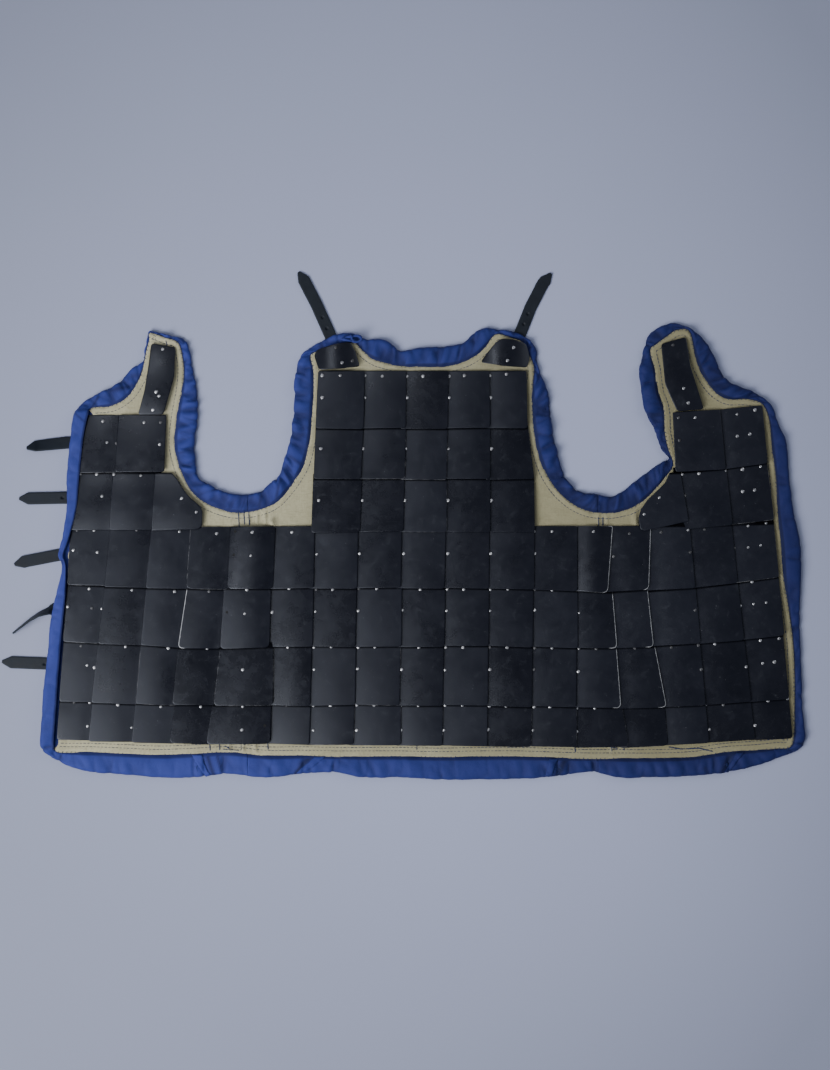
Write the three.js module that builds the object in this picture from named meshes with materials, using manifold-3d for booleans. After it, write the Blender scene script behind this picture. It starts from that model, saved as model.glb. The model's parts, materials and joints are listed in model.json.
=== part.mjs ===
// Brigandine, opened out and laid flat with its lining up.
// Millimetres. X runs to the right, Y away from the hem, Z up from the surface it lies on.
import * as THREE from 'three';
import Module from 'manifold-3d';

// Driving sizes
const WIDTH = 1169;
const DEPTH = 739;
const CLOTH = 1.2;
const CANVAS = 1.0;
const PLATE = 1.2;
const PLATE_TUCK = 9;
const FOLD_LOW = 5;
const FOLD_HIGH = 9;
const SIDE_FOLD = 12;
const HEM_TUCK = 3;
const STRAP_WIDTH = 18;
const STRAP_THICK = 3;
const BUCKLE_LENGTH = 42;
const BUCKLE_WIDTH = 30;
const RIVET_WIDTH = 6.6;
const RIVET_HEIGHT = 1.6;
const CORNER = 6;
const SIDE_ARCH = 1.0;
const GAP = 0.3;

// Heights in the stack, from the floor up
const CLOTH_Z = STRAP_THICK + GAP;
const CANVAS_Z = CLOTH_Z + CLOTH + GAP;
const RIM_Z = CANVAS_Z + CLOTH + GAP;
const PLATE_Z = CANVAS_Z + CANVAS + GAP;
const EDGE_Z = RIM_Z + CANVAS + GAP;
const SIDE_RISE = (PLATE + GAP) * 1.16;
const ROW_RISE = (SIDE_RISE + PLATE + GAP) * 1.14;
const JOINED_RISE = PLATE * 0.85;
const OVER_Z = PLATE_Z + SIDE_RISE + ROW_RISE + PLATE + SIDE_ARCH * 0.5;

// Places are shares of the width and of the depth, from the middle of the garment.
// Each edge row holds the outer edge of the cloth, then the edge that its turning makes inside.
const EDGES = {
  leftArmhole: [
    [-0.314, 0.383, -0.314, 0.378], [-0.289, 0.372, -0.294, 0.368],
    [-0.272, 0.367, -0.281, 0.360], [-0.266, 0.342, -0.275, 0.342],
    [-0.260, 0.303, -0.272, 0.303], [-0.255, 0.256, -0.275, 0.262],
    [-0.255, 0.209, -0.280, 0.218], [-0.259, 0.169, -0.283, 0.169],
    [-0.257, 0.128, -0.280, 0.134], [-0.254, 0.095, -0.274, 0.101],
    [-0.243, 0.082, -0.264, 0.072], [-0.227, 0.069, -0.247, 0.047],
    [-0.210, 0.062, -0.220, 0.028], [-0.190, 0.062, -0.197, 0.026],
    [-0.176, 0.068, -0.175, 0.033], [-0.165, 0.084, -0.158, 0.047],
    [-0.155, 0.097, -0.145, 0.067], [-0.150, 0.120, -0.134, 0.089],
    [-0.143, 0.154, -0.123, 0.122], [-0.138, 0.189, -0.116, 0.167],
    [-0.136, 0.232, -0.113, 0.228], [-0.135, 0.277, -0.112, 0.273],
    [-0.133, 0.311, -0.112, 0.309],
  ],
  backNeck: [
    [-0.124, 0.338, -0.114, 0.335], [-0.103, 0.362, -0.097, 0.344],
    [-0.083, 0.374, -0.078, 0.352], [-0.065, 0.377, -0.062, 0.359],
    [-0.053, 0.371, -0.056, 0.352], [-0.043, 0.366, -0.048, 0.341],
    [-0.029, 0.366, -0.036, 0.326], [-0.015, 0.357, -0.020, 0.317],
    [-0.001, 0.342, -0.004, 0.313], [0.024, 0.349, 0.024, 0.313],
    [0.055, 0.352, 0.048, 0.313], [0.074, 0.359, 0.069, 0.317],
    [0.086, 0.375, 0.088, 0.331], [0.099, 0.388, 0.103, 0.352],
    [0.117, 0.385, 0.116, 0.375], [0.136, 0.382, 0.134, 0.369],
    [0.154, 0.368, 0.149, 0.358], [0.166, 0.347, 0.157, 0.334],
  ],
  rightArmhole: [
    [0.167, 0.313, 0.163, 0.309], [0.176, 0.279, 0.161, 0.273],
    [0.182, 0.248, 0.161, 0.234], [0.185, 0.199, 0.163, 0.193],
    [0.190, 0.156, 0.167, 0.146], [0.197, 0.110, 0.177, 0.105],
    [0.208, 0.080, 0.190, 0.071], [0.223, 0.065, 0.207, 0.046],
    [0.237, 0.063, 0.227, 0.030], [0.253, 0.057, 0.249, 0.025],
    [0.269, 0.063, 0.267, 0.026], [0.282, 0.078, 0.287, 0.037],
    [0.300, 0.102, 0.306, 0.061], [0.320, 0.123, 0.321, 0.088],
    [0.331, 0.132, 0.335, 0.118], [0.320, 0.150, 0.329, 0.150],
    [0.313, 0.187, 0.325, 0.181], [0.300, 0.224, 0.323, 0.226],
    [0.296, 0.263, 0.316, 0.265], [0.293, 0.303, 0.312, 0.305],
    [0.298, 0.340, 0.307, 0.344],
  ],
  rightNeck: [
    [0.305, 0.374, 0.315, 0.356], [0.320, 0.390, 0.328, 0.371],
    [0.337, 0.399, 0.340, 0.383], [0.356, 0.389, 0.355, 0.381],
    [0.372, 0.368, 0.361, 0.346], [0.386, 0.334, 0.366, 0.316],
    [0.396, 0.299, 0.374, 0.291], [0.409, 0.279, 0.386, 0.265],
    [0.426, 0.269, 0.403, 0.249], [0.443, 0.256, 0.428, 0.248],
  ],
  rightFront: [
    [0.459, 0.234, 0.445, 0.238], [0.467, 0.201, 0.454, 0.209],
    [0.476, 0.159, 0.458, 0.159], [0.480, 0.095, 0.463, 0.095],
    [0.485, 0.028, 0.466, 0.028], [0.494, -0.037, 0.470, -0.033],
    [0.494, -0.105, 0.473, -0.105], [0.493, -0.168, 0.480, -0.168],
    [0.494, -0.233, 0.484, -0.233], [0.496, -0.302, 0.486, -0.292],
    [0.496, -0.361, 0.486, -0.361], [0.499, -0.420, 0.485, -0.416],
  ],
  hem: [
    [0.490, -0.443, 0.480, -0.435], [0.468, -0.457, 0.463, -0.438],
    [0.437, -0.474, 0.437, -0.442], [0.400, -0.486, 0.400, -0.447],
    [0.359, -0.492, 0.359, -0.456], [0.313, -0.496, 0.313, -0.459],
    [0.269, -0.496, 0.269, -0.459], [0.232, -0.484, 0.232, -0.459],
    [0.195, -0.492, 0.195, -0.457], [0.145, -0.498, 0.145, -0.455],
    [0.096, -0.500, 0.096, -0.455], [0.046, -0.499, 0.046, -0.456],
    [-0.004, -0.496, -0.004, -0.455], [-0.047, -0.495, -0.047, -0.455],
    [-0.084, -0.486, -0.084, -0.455], [-0.128, -0.488, -0.128, -0.454],
    [-0.171, -0.495, -0.171, -0.453], [-0.217, -0.489, -0.215, -0.446],
    [-0.258, -0.495, -0.258, -0.450], [-0.301, -0.495, -0.301, -0.452],
    [-0.345, -0.490, -0.345, -0.449], [-0.388, -0.484, -0.386, -0.447],
    [-0.418, -0.471, -0.413, -0.445],
  ],
  hemCorner: [[-0.438, -0.452, -0.429, -0.439]],
  leftFront: [
    [-0.450, -0.433, -0.431, -0.420], [-0.449, -0.370, -0.429, -0.370],
    [-0.445, -0.312, -0.427, -0.312], [-0.440, -0.243, -0.424, -0.243],
    [-0.437, -0.180, -0.421, -0.184], [-0.429, -0.129, -0.418, -0.135],
    [-0.424, -0.086, -0.417, -0.082], [-0.428, -0.056, -0.421, -0.058],
    [-0.423, -0.023, -0.414, -0.027], [-0.417, 0.032, -0.405, 0.032],
    [-0.417, 0.095, -0.401, 0.091], [-0.413, 0.169, -0.396, 0.169],
    [-0.408, 0.220, -0.390, 0.216],
  ],
  neckCorner: [[-0.393, 0.246, -0.380, 0.230]],
  leftNeck: [
    [-0.370, 0.266, -0.360, 0.237], [-0.355, 0.279, -0.342, 0.253],
    [-0.337, 0.307, -0.330, 0.279], [-0.323, 0.322, -0.323, 0.305],
    [-0.322, 0.342, -0.318, 0.344], [-0.318, 0.366, -0.315, 0.364],
  ],
};

// How the turned-in cloth lies: under the canvas, over the plates, or clear of both
const LAY = {leftFront: 'over', hemCorner: 'clear', neckCorner: 'clear'};

// The two side seams, under the armholes
const SEAMS = [-0.192, 0.242];

// Skirt: four rows of seventeen plates. Each column line runs from its top to the hem.
const COLUMNS = [
  [-0.413, -0.431], [-0.363, -0.391], [-0.312, -0.337], [-0.263, -0.290],
  [-0.216, -0.244], [-0.158, -0.163], [-0.109, -0.114], [-0.055, -0.061],
  [-0.001, -0.003], [0.054, 0.049], [0.107, 0.104], [0.163, 0.160],
  [0.217, 0.216], [0.257, 0.281], [0.308, 0.328], [0.356, 0.380],
  [0.408, 0.437], [0.460, 0.484],
];
const ROW_KNOTS = [-0.440, -0.252, -0.078, 0.108, 0.263, 0.368, 0.490];
const ROW_LINES = [
  [-0.007, -0.003, -0.001, -0.001, -0.001, -0.001, 0.003],
  [-0.118, -0.126, -0.123, -0.123, -0.132, -0.123, -0.101],
  [-0.229, -0.242, -0.238, -0.239, -0.242, -0.233, -0.215],
  [-0.347, -0.354, -0.353, -0.354, -0.360, -0.353, -0.341],
  [-0.421, -0.430, -0.430, -0.433, -0.437, -0.428, -0.417],
];
const SIDE_PLATE = 4;
const PANELS = [
  {name: 'left_front', first: 0, last: 4},
  {name: 'back', first: 5, last: 11},
  {name: 'right_front', first: 12, last: 16},
];
const ROW_NAMES = ['a', 'b', 'c', 'd'];

// Back of the chest: lines across and down
const CHEST_ACROSS = [0.304, 0.189, 0.089, -0.013];
const CHEST_DOWN = [
  [-0.105, -0.047, 0.005, 0.057, 0.108, 0.153],
  [-0.109, -0.048, 0.004, 0.056, 0.108, 0.154],
  [-0.111, -0.051, 0.002, 0.055, 0.109, 0.162],
  [-0.113, -0.054, 0.001, 0.055, 0.108, 0.163],
];

// Upper front plates: the corners along the top and the foot of each row, which neighbour lies
// over which, and the armhole curve that trims the row
const FRONT_ROWS = {
  left_front_upper: {
    top: [[-0.396, 0.216], [-0.354, 0.216], [-0.293, 0.216]],
    foot: [[-0.406, 0.103], [-0.357, 0.103], [-0.296, 0.103]],
    over: 'right',
  },
  left_front_waist: {
    top: [[-0.406, 0.103], [-0.360, 0.103], [-0.308, 0.103], [-0.248, 0.103]],
    foot: [[-0.418, -0.010], [-0.364, -0.010], [-0.311, -0.010], [-0.249, -0.008]],
    over: 'right',
    tucked: true,
    armhole: [
      [-0.450, 0.150], [-0.308, 0.115], [-0.300, 0.103], [-0.287, 0.102], [-0.280, 0.091], [-0.273, 0.071],
      [-0.264, 0.055], [-0.252, 0.038], [-0.248, 0.026], [-0.248, -0.030], [-0.450, -0.030],
    ],
  },
  right_front_upper: {
    top: [[0.335, 0.222], [0.394, 0.226], [0.446, 0.236]],
    foot: [[0.337, 0.102], [0.400, 0.110], [0.452, 0.121]],
    over: 'left',
  },
  right_front_waist: {
    top: [[0.294, 0.098], [0.344, 0.102], [0.401, 0.110], [0.452, 0.121]],
    foot: [[0.294, -0.009], [0.356, -0.007], [0.408, 0.000], [0.460, 0.009]],
    over: 'left',
    tucked: true,
    armhole: [
      [0.500, 0.150], [0.344, 0.110], [0.331, 0.101], [0.324, 0.081], [0.315, 0.065],
      [0.303, 0.047], [0.295, 0.028], [0.290, 0.010], [0.290, -0.030], [0.500, -0.030],
    ],
  },
};

// Shoulder plates, each from its own outline; one lies on the canvas's raised rim
const SHOULDERS = {
  left_front_shoulder: {
    edge: [
      [-0.312, 0.359], [-0.282, 0.350], [-0.283, 0.291], [-0.290, 0.252],
      [-0.297, 0.217], [-0.329, 0.217], [-0.320, 0.263], [-0.315, 0.316],
    ],
  },
  right_front_shoulder: {
    edge: [
      [0.320, 0.356], [0.351, 0.371], [0.356, 0.311], [0.362, 0.281],
      [0.373, 0.228], [0.339, 0.225], [0.331, 0.252], [0.324, 0.277],
    ],
  },
  left_back_shoulder: {
    edge: [[-0.107, 0.333], [-0.064, 0.354], [-0.055, 0.315], [-0.104, 0.307]],
    rim: true,
  },
  right_back_shoulder: {
    edge: [
      [0.120, 0.366], [0.146, 0.352], [0.152, 0.326], [0.149, 0.309],
      [0.120, 0.312], [0.098, 0.320], [0.112, 0.349],
    ],
  },
};

// Straps: the line each follows from under the cloth to its tip, and how far it rolls on edge
const STRAPS = {
  strap_front_1: {line: [[-0.388, 0.163], [-0.418, 0.163], [-0.457, 0.156], [-0.470, 0.152]]},
  strap_front_2: {line: [[-0.388, 0.054], [-0.418, 0.054], [-0.464, 0.053], [-0.478, 0.053]]},
  strap_front_3: {line: [[-0.396, -0.053], [-0.428, -0.058], [-0.468, -0.070], [-0.484, -0.077]]},
  strap_front_4: {
    line: [
      [-0.403, -0.157], [-0.441, -0.166], [-0.452, -0.174],
      [-0.463, -0.185], [-0.475, -0.200], [-0.486, -0.212],
    ],
    roll: [0, 0, 45, 78, 82, 82],
  },
  strap_front_5: {line: [[-0.411, -0.274], [-0.443, -0.272], [-0.489, -0.269], [-0.500, -0.268]]},
  strap_left_shoulder: {
    line: [[-0.076, 0.315], [-0.090, 0.371], [-0.108, 0.434], [-0.123, 0.481], [-0.130, 0.498]],
  },
  strap_right_shoulder: {
    line: [[0.129, 0.326], [0.145, 0.376], [0.158, 0.427], [0.174, 0.475], [0.184, 0.496]],
  },
};

// Buckles, hidden under the cloth: place and the way each one points, in degrees
const BUCKLES = {
  buckle_front_1: [0.422, 0.175, 0],
  buckle_front_2: [0.428, 0.067, 0],
  buckle_front_3: [0.435, -0.043, 0],
  buckle_front_4: [0.442, -0.155, 0],
  buckle_front_5: [0.453, -0.270, 0],
  buckle_left_shoulder: [-0.300, 0.303, 90],
  buckle_right_shoulder: [0.339, 0.295, 90],
};

const wasm = await Module();
wasm.setup();

const mix = (a, b, t) => a + (b - a) * t;
const at = ([u, v]) => [u * WIDTH, v * DEPTH];

// A closed body from a list of points and faces that may have more than three corners
function body(points, faces) {
  const tris = faces.flatMap((f) => f.slice(2).map((_, i) => [f[0], f[i + 1], f[i + 2]]));
  const mesh = new wasm.Mesh({
    numProp: 3,
    vertProperties: new Float32Array(points.flat()),
    triVerts: new Uint32Array(tris.flat()),
  });
  return new wasm.Manifold(mesh);
}

// Rings of equal count joined in turn; the first and last are closed by flat caps or by each other
function loft(rings, capped) {
  const n = rings[0].length;
  const points = rings.flat();
  const faces = [];
  rings.slice(1).forEach((_, r) => {
    for (let i = 0; i < n; i += 1) {
      const j = (i + 1) % n;
      faces.push([r * n + i, r * n + j, (r + 1) * n + j, (r + 1) * n + i]);
    }
  });
  const cap = (ring, offset, flip) => {
    const flat = ring.map(([x, y]) => new THREE.Vector2(x, y));
    THREE.ShapeUtils.triangulateShape(flat, []).forEach(([a, b, c]) => {
      faces.push(flip ? [a + offset, c + offset, b + offset] : [a + offset, b + offset, c + offset]);
    });
  };
  if (capped) {
    cap(rings[0], 0, true);
    cap(rings[rings.length - 1], (rings.length - 1) * n, false);
  }
  return body(points, faces);
}

// Sections of four points joined in turn and closed at both ends
function ladder(sections) {
  const faces = [];
  sections.slice(1).forEach((_, i) => {
    for (let k = 0; k < 4; k += 1) {
      const j = (k + 1) % 4;
      faces.push([i * 4 + k, (i + 1) * 4 + k, (i + 1) * 4 + j, i * 4 + j]);
    }
  });
  const end = (sections.length - 1) * 4;
  faces.push([0, 1, 2, 3]);
  faces.push([end + 3, end + 2, end + 1, end]);
  return body(sections.flat(), faces);
}

// A slab whose underside has its height from a rule, on an outline given anticlockwise
function slab(outline, height, thick) {
  const low = outline.map(([x, y]) => [x, y, height(x, y)]);
  const high = low.map(([x, y, z]) => [x, y, z + thick]);
  return loft([low, high], true);
}

function anticlockwise(outline) {
  const flat = outline.map(([x, y]) => new THREE.Vector2(x, y));
  return THREE.ShapeUtils.area(flat) < 0 ? [...outline].reverse() : outline;
}

// The outline again with each corner cut back in two short steps
function softened(outline, size) {
  const n = outline.length;
  return outline.flatMap((p, i) => {
    const before = outline[(i + n - 1) % n];
    const after = outline[(i + 1) % n];
    const a = Math.hypot(before[0] - p[0], before[1] - p[1]);
    const b = Math.hypot(after[0] - p[0], after[1] - p[1]);
    const turn = ((p[0] - before[0]) * (after[0] - p[0]) + (p[1] - before[1]) * (after[1] - p[1]));
    if (turn / (a * b) > 0.6) return [p];
    const cut = Math.min(size, a * 0.4, b * 0.4);
    const start = [mix(p[0], before[0], cut / a), mix(p[1], before[1], cut / a)];
    const end = [mix(p[0], after[0], cut / b), mix(p[1], after[1], cut / b)];
    const middle = [mix((start[0] + end[0]) / 2, p[0], 0.45), mix((start[1] + end[1]) / 2, p[1], 0.45)];
    return [start, middle, end];
  });
}

// A rivet tail: a low five-sided stud on a plate, whose shank may reach down to the canvas
function rivet(x, y, z, foot = z - PLATE / 2) {
  const sides = 5;
  const ring = (radius, height) => Array.from({length: sides}, (_, i) => {
    const angle = (i / sides) * Math.PI * 2;
    return [x + Math.cos(angle) * radius, y + Math.sin(angle) * radius, height];
  });
  const wide = RIVET_WIDTH / 2;
  return loft([ring(wide, foot), ring(wide * 0.7, z + RIVET_HEIGHT)], true);
}

const stations = Object.entries(EDGES).flatMap(([name, rows]) => rows.map(([ou, ov, iu, iv]) => {
  const outer = at([ou, ov]);
  const inner = at([iu, iv]);
  const reach = Math.hypot(inner[0] - outer[0], inner[1] - outer[1]);
  const way = [(inner[0] - outer[0]) / reach, (inner[1] - outer[1]) / reach];
  return {outer, way, reach, lay: LAY[name] || 'under'};
})).reverse();

const inset = (s, by, z) => [s.outer[0] + s.way[0] * by, s.outer[1] + s.way[1] * by, z];

// The outer cloth: a bottom sheet whose edge folds up and back over itself
function clothRings() {
  const ring = (rule) => stations.map((s) => {
    const over = s.lay === 'over';
    const end = s.lay === 'under' ? s.reach + HEM_TUCK : s.reach;
    const top = over ? OVER_Z + CLOTH + GAP : CLOTH_Z + Math.min(FOLD_HIGH, Math.max(FOLD_LOW, s.reach * 0.35));
    const face = over ? OVER_Z - 1 : CANVAS_Z;
    const puff = over ? Math.max(top, CLOTH_Z + SIDE_FOLD) : top;
    const [by, z] = rule(s.reach, end, puff, face);
    return inset(s, by, z);
  });
  const middle = (CLOTH_Z + CLOTH) * 0.5;
  return [
    ring((reach) => [reach * 0.45, CLOTH_Z]),
    ring((reach, end, puff) => [0, mix(middle, puff, 0.45)]),
    ring((reach, end, puff) => [reach * 0.14, mix(middle, puff, 0.88)]),
    ring((reach, end, puff) => [reach * 0.45, puff]),
    ring((reach, end, puff, face) => [reach - 0.4, face + CLOTH]),
    ring((reach, end, puff, face) => [end, face + CLOTH]),
    ring((reach, end, puff, face) => [end, face]),
    ring((reach, end, puff, face) => [reach - 1.2, face]),
    ring((reach, end, puff) => [reach * 0.47, puff - CLOTH * 1.1]),
    ring((reach, end, puff) => [Math.min(CLOTH * 1.1, reach * 0.4), mix(middle, puff, 0.5)]),
    ring((reach) => [reach * 0.45, CLOTH_Z + CLOTH]),
  ];
}

function clothPanels() {
  const whole = loft(clothRings(), true);
  const cuts = [-0.6, ...SEAMS, 0.6];
  const names = ['left_front', 'back', 'right_front'];
  return names.map((name, i) => {
    const low = cuts[i] * WIDTH + GAP / 2;
    const high = cuts[i + 1] * WIDTH - GAP / 2;
    const box = wasm.Manifold.cube([high - low, DEPTH * 2, 100]).translate([low, -DEPTH, -10]);
    return [`cloth_${name}`, wasm.Manifold.intersection(whole, box)];
  });
}

// The canvas: flat, with a rim that rises over the turned-in cloth
function canvas() {
  const ring = (rule) => stations.map((s) => {
    const over = s.lay === 'over';
    const start = s.lay === 'under' ? 0 : HEM_TUCK * 2;
    const [by, z] = rule(start, over ? CANVAS_Z : RIM_Z);
    return inset(s, s.reach + by, z);
  });
  const flat = HEM_TUCK + 1;
  const ramp = HEM_TUCK + 4;
  const shift = (start, by) => Math.max(start + 1, by);
  return loft([
    ring((start) => [shift(start + 1, ramp), CANVAS_Z]),
    ring((start, z) => [shift(start, flat), z]),
    ring((start, z) => [start, z]),
    ring((start, z) => [start, z + CANVAS]),
    ring((start, z) => [shift(start, flat), z + CANVAS]),
    ring((start) => [shift(start + 1, ramp), CANVAS_Z + CANVAS]),
  ], true);
}

// Height of a row line at a place along the garment
const rowLine = (row, u) => {
  const k = Math.max(1, ROW_KNOTS.findIndex((knot) => knot >= u));
  const t = (u - ROW_KNOTS[k - 1]) / (ROW_KNOTS[k] - ROW_KNOTS[k - 1]);
  return mix(ROW_LINES[row][k - 1], ROW_LINES[row][k], t);
};
const columnLine = (column, v) => {
  const [top, bottom] = COLUMNS[column];
  return mix(top, bottom, (ROW_LINES[0][3] - v) / (ROW_LINES[0][3] - ROW_LINES[4][3]));
};
// Where a column line meets a row line
function crossing(column, row) {
  const guess = rowLine(row, COLUMNS[column][0]);
  const u = columnLine(column, guess);
  return at([u, rowLine(row, u)]);
}

// A plate between four corners, with its hidden edges carried on under its neighbours
function gridPlate({topLeft, topRight, bottomLeft, bottomRight}, joins) {
  const width = (topRight[0] - topLeft[0] + bottomRight[0] - bottomLeft[0]) / 2;
  const height = (topLeft[1] - bottomLeft[1] + topRight[1] - bottomRight[1]) / 2;
  const up = joins.top ? PLATE_TUCK / height : 0;
  const left = joins.left ? PLATE_TUCK / width : 0;
  const right = joins.right ? PLATE_TUCK / width : 0;
  const point = (across, down) => {
    const upper = [mix(topLeft[0], topRight[0], across), mix(topLeft[1], topRight[1], across)];
    const lower = [mix(bottomLeft[0], bottomRight[0], across), mix(bottomLeft[1], bottomRight[1], across)];
    return [mix(upper[0], lower[0], down), mix(upper[1], lower[1], down)];
  };
  const level = (across, down) => {
    const side = mix(joins.lowLeft, joins.highRight, Math.min(1, Math.max(0, (across + left) / (1 + left + right))));
    const bow = (joins.arch || 0) * 4 * Math.max(0, across) * (1 - Math.min(1, across));
    return PLATE_Z + side + ROW_RISE * (down + up) / (1 + up) + bow;
  };
  const corner = CORNER / width;
  const hide = 0.03 - up;
  const columns = [
    ...(left ? [[-left, hide, 0.97], [0.012, -up, 1]] : [[0, -up, 0.95], [corner, -up, 1]]),
    ...(joins.arch ? [[0.3, -up, 1], [0.5, -up, 1], [0.7, -up, 1]] : []),
    ...(right ? [[0.988, -up, 1], [1 + right, hide, 0.97]] : [[1 - corner, -up, 1], [1, -up, 0.95]]),
  ];
  const spot = (across, down, raise) => [...point(across, down), level(across, down) + raise];
  const plate = ladder(columns.map(([across, high, low]) => [
    spot(across, high, 0),
    spot(across, low, 0),
    spot(across, low, PLATE),
    spot(across, high, PLATE),
  ]));
  const studs = (joins.rivets || []).map(([across, down]) => {
    const [x, y] = point(across, down);
    return rivet(x, y, level(across, down) + PLATE);
  });
  return [plate, ...studs];
}

const nodes = [];

// Skirt rows, each panel's row joined side to side
function skirt() {
  ROW_NAMES.forEach((rowName, row) => {
    PANELS.forEach(({name, first, last}) => {
      const pieces = [];
      for (let c = first; c <= last; c += 1) {
        const corners = {
          topLeft: crossing(c, row),
          topRight: crossing(c + 1, row),
          bottomLeft: crossing(c, row + 1),
          bottomRight: crossing(c + 1, row + 1),
        };
        const side = c === SIDE_PLATE;
        const before = c < SIDE_PLATE;
        const under = row > 0 || c < 3 || (c > 5 && c < 11) || c > 14;
        const edge = c === last && !before ? SIDE_RISE : JOINED_RISE;
        const rivets = [];
        if (side || before) rivets.push([0.5, 0.1]);
        else rivets.push([0.12, 0.1]);
        const joins = {
          top: under,
          left: !side && !before,
          right: before,
          lowLeft: side || (before && c > 0) ? JOINED_RISE : 0,
          highRight: side ? SIDE_RISE : before ? 0 : edge,
          arch: side ? SIDE_ARCH : 0,
          rivets,
        };
        pieces.push(...gridPlate(corners, joins));
      }
      nodes.push([`skirt_${name}_row_${rowName}`, wasm.Manifold.union(pieces), 'plates']);
    });
  });
}

// A row of separate plates between its top and foot corners
function plateRow(name, {top, foot, over, tucked, armhole}, rivets) {
  const last = top.length - 2;
  for (let i = 0; i <= last; i += 1) {
    const left = over === 'left';
    const corners = {
      topLeft: at(top[i]),
      topRight: at(top[i + 1]),
      bottomLeft: at(foot[i]),
      bottomRight: at(foot[i + 1]),
    };
    const joins = {
      top: tucked,
      left: left && i > 0,
      right: !left && i < last,
      lowLeft: (left && i === 0) || (!left && i > 0) ? SIDE_RISE : 0,
      highRight: left || i === last ? SIDE_RISE : 0,
      rivets,
    };
    const pieces = gridPlate(corners, joins);
    if (armhole) pieces[0] = wasm.Manifold.intersection(pieces[0], armholeTrim(armhole));
    nodes.push([`${name}_${i + 1}`, wasm.Manifold.union(pieces), 'plates']);
  }
}

function armholeTrim(curve) {
  const outline = anticlockwise(curve.map(at));
  return slab(outline, () => 0, OVER_Z * 2);
}

function upperPlates() {
  for (let row = 0; row < 3; row += 1) {
    const line = (j) => CHEST_DOWN[j].map((u) => [u, CHEST_ACROSS[j]]);
    const rivets = row === 0 ? [[0.12, 0.1]] : [[0.12, 0.4]];
    plateRow(`back_row_${row + 1}_plate`, {top: line(row), foot: line(row + 1), over: 'left', tucked: row > 0}, rivets);
  }
  Object.entries(FRONT_ROWS).forEach(([name, row]) => plateRow(name, row, [[0.5, 0.5]]));
}

function shoulders() {
  Object.entries(SHOULDERS).forEach(([name, {edge, rim}]) => {
    const points = edge.map(at);
    const span = (list) => [Math.min(...list), Math.max(...list)];
    const [west, east] = span(points.map((p) => p[0]));
    const [south, north] = span(points.map((p) => p[1]));
    const height = (x, y) => EDGE_Z + ROW_RISE * (north - y) / (north - south);
    const outline = anticlockwise(softened(points, CORNER));
    const middle = [(west + east) / 2, (south + north) / 2];
    const spots = [mix(middle[1], north, 0.45), mix(middle[1], south, 0.4)];
    const foot = rim ? undefined : PLATE_Z;
    const studs = spots.map((y) => rivet(middle[0], y, height(middle[0], y) + PLATE, foot));
    nodes.push([name, wasm.Manifold.union([slab(outline, height, PLATE), ...studs]), 'plates']);
  });
}

// A strap: a flat band that follows its line, comes to a point, and may roll onto its edge
function strap({line, roll}) {
  const path = line.map(at);
  const last = path.length - 1;
  const sections = path.flatMap(([x, y], i) => {
    const a = path[Math.max(0, i - 1)];
    const b = path[Math.min(last, i + 1)];
    const long = Math.hypot(b[0] - a[0], b[1] - a[1]);
    const side = [-(b[1] - a[1]) / long, (b[0] - a[0]) / long];
    const half = i === last ? STRAP_WIDTH * 0.12 : STRAP_WIDTH / 2;
    const angle = THREE.MathUtils.degToRad(roll ? roll[i] : 0);
    const [c, s] = [Math.cos(angle), Math.sin(angle)];
    const rise = half * s + (STRAP_THICK / 2) * c;
    const corner = (w, t) => [
      x + side[0] * (w * c - t * s),
      y + side[1] * (w * c - t * s),
      rise + w * s + t * c,
    ];
    const t = STRAP_THICK / 2;
    return [[corner(-half, -t), corner(half, -t), corner(half, t), corner(-half, t)]];
  });
  return ladder(sections.map((four) => [...four].reverse()));
}

// A plain buckle and the tab that holds it, one flat piece
function buckle([u, v, turn]) {
  const [x, y] = at([u, v]);
  const long = BUCKLE_LENGTH;
  const wide = BUCKLE_WIDTH;
  const frame = wasm.Manifold.cube([long * 0.45, wide, STRAP_THICK]).translate([long * 0.05, -wide / 2, 0]);
  const window = wasm.Manifold.cube([long * 0.25, wide * 0.66, STRAP_THICK * 3])
    .translate([long * 0.15, -wide * 0.33, -STRAP_THICK]);
  const tab = wasm.Manifold.cube([long * 0.6, wide * 0.6, STRAP_THICK]).translate([-long / 2, -wide * 0.3, 0]);
  return wasm.Manifold.difference(frame, window).add(tab).rotate([0, 0, turn]).translate([x, y, 0]);
}

// What is left of a body, in one piece, when it keeps clear of others above and below it
function clearOf(solid, others) {
  const shifted = others.flatMap((o) => [o, o.translate([0, 0, GAP / 2]), o.translate([0, 0, -GAP / 2])]);
  const parts = wasm.Manifold.difference(solid, wasm.Manifold.union(shifted)).decompose();
  return parts.reduce((best, part) => (part.volume() > best.volume() ? part : best));
}

const panels = clothPanels();
panels.forEach(([name, solid]) => nodes.push([name, solid, 'cloth']));
nodes.push(['canvas_lining', clearOf(canvas(), panels.map(([, solid]) => solid)), 'canvas']);
skirt();
upperPlates();
shoulders();
Object.entries(STRAPS).forEach(([name, spec]) => nodes.push([name, strap(spec), 'straps']));
Object.entries(BUCKLES).forEach(([name, spec]) => nodes.push([name, buckle(spec), 'buckles']));

const COLOURS = {
  cloth: '#2f5093',
  canvas: '#c4bf9c',
  plates: '#2a2d35',
  straps: '#3a434c',
  buckles: '#3b3e42',
};

// The origin is under the middle of the whole, on the surface it lies on
const boxes = nodes.map(([, solid]) => solid.boundingBox());
const lowest = [0, 1, 2].map((k) => Math.min(...boxes.map((b) => b.min[k])));
const highest = [0, 1, 2].map((k) => Math.max(...boxes.map((b) => b.max[k])));
const shift = [-(lowest[0] + highest[0]) / 2, -(lowest[1] + highest[1]) / 2, -lowest[2]];

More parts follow.
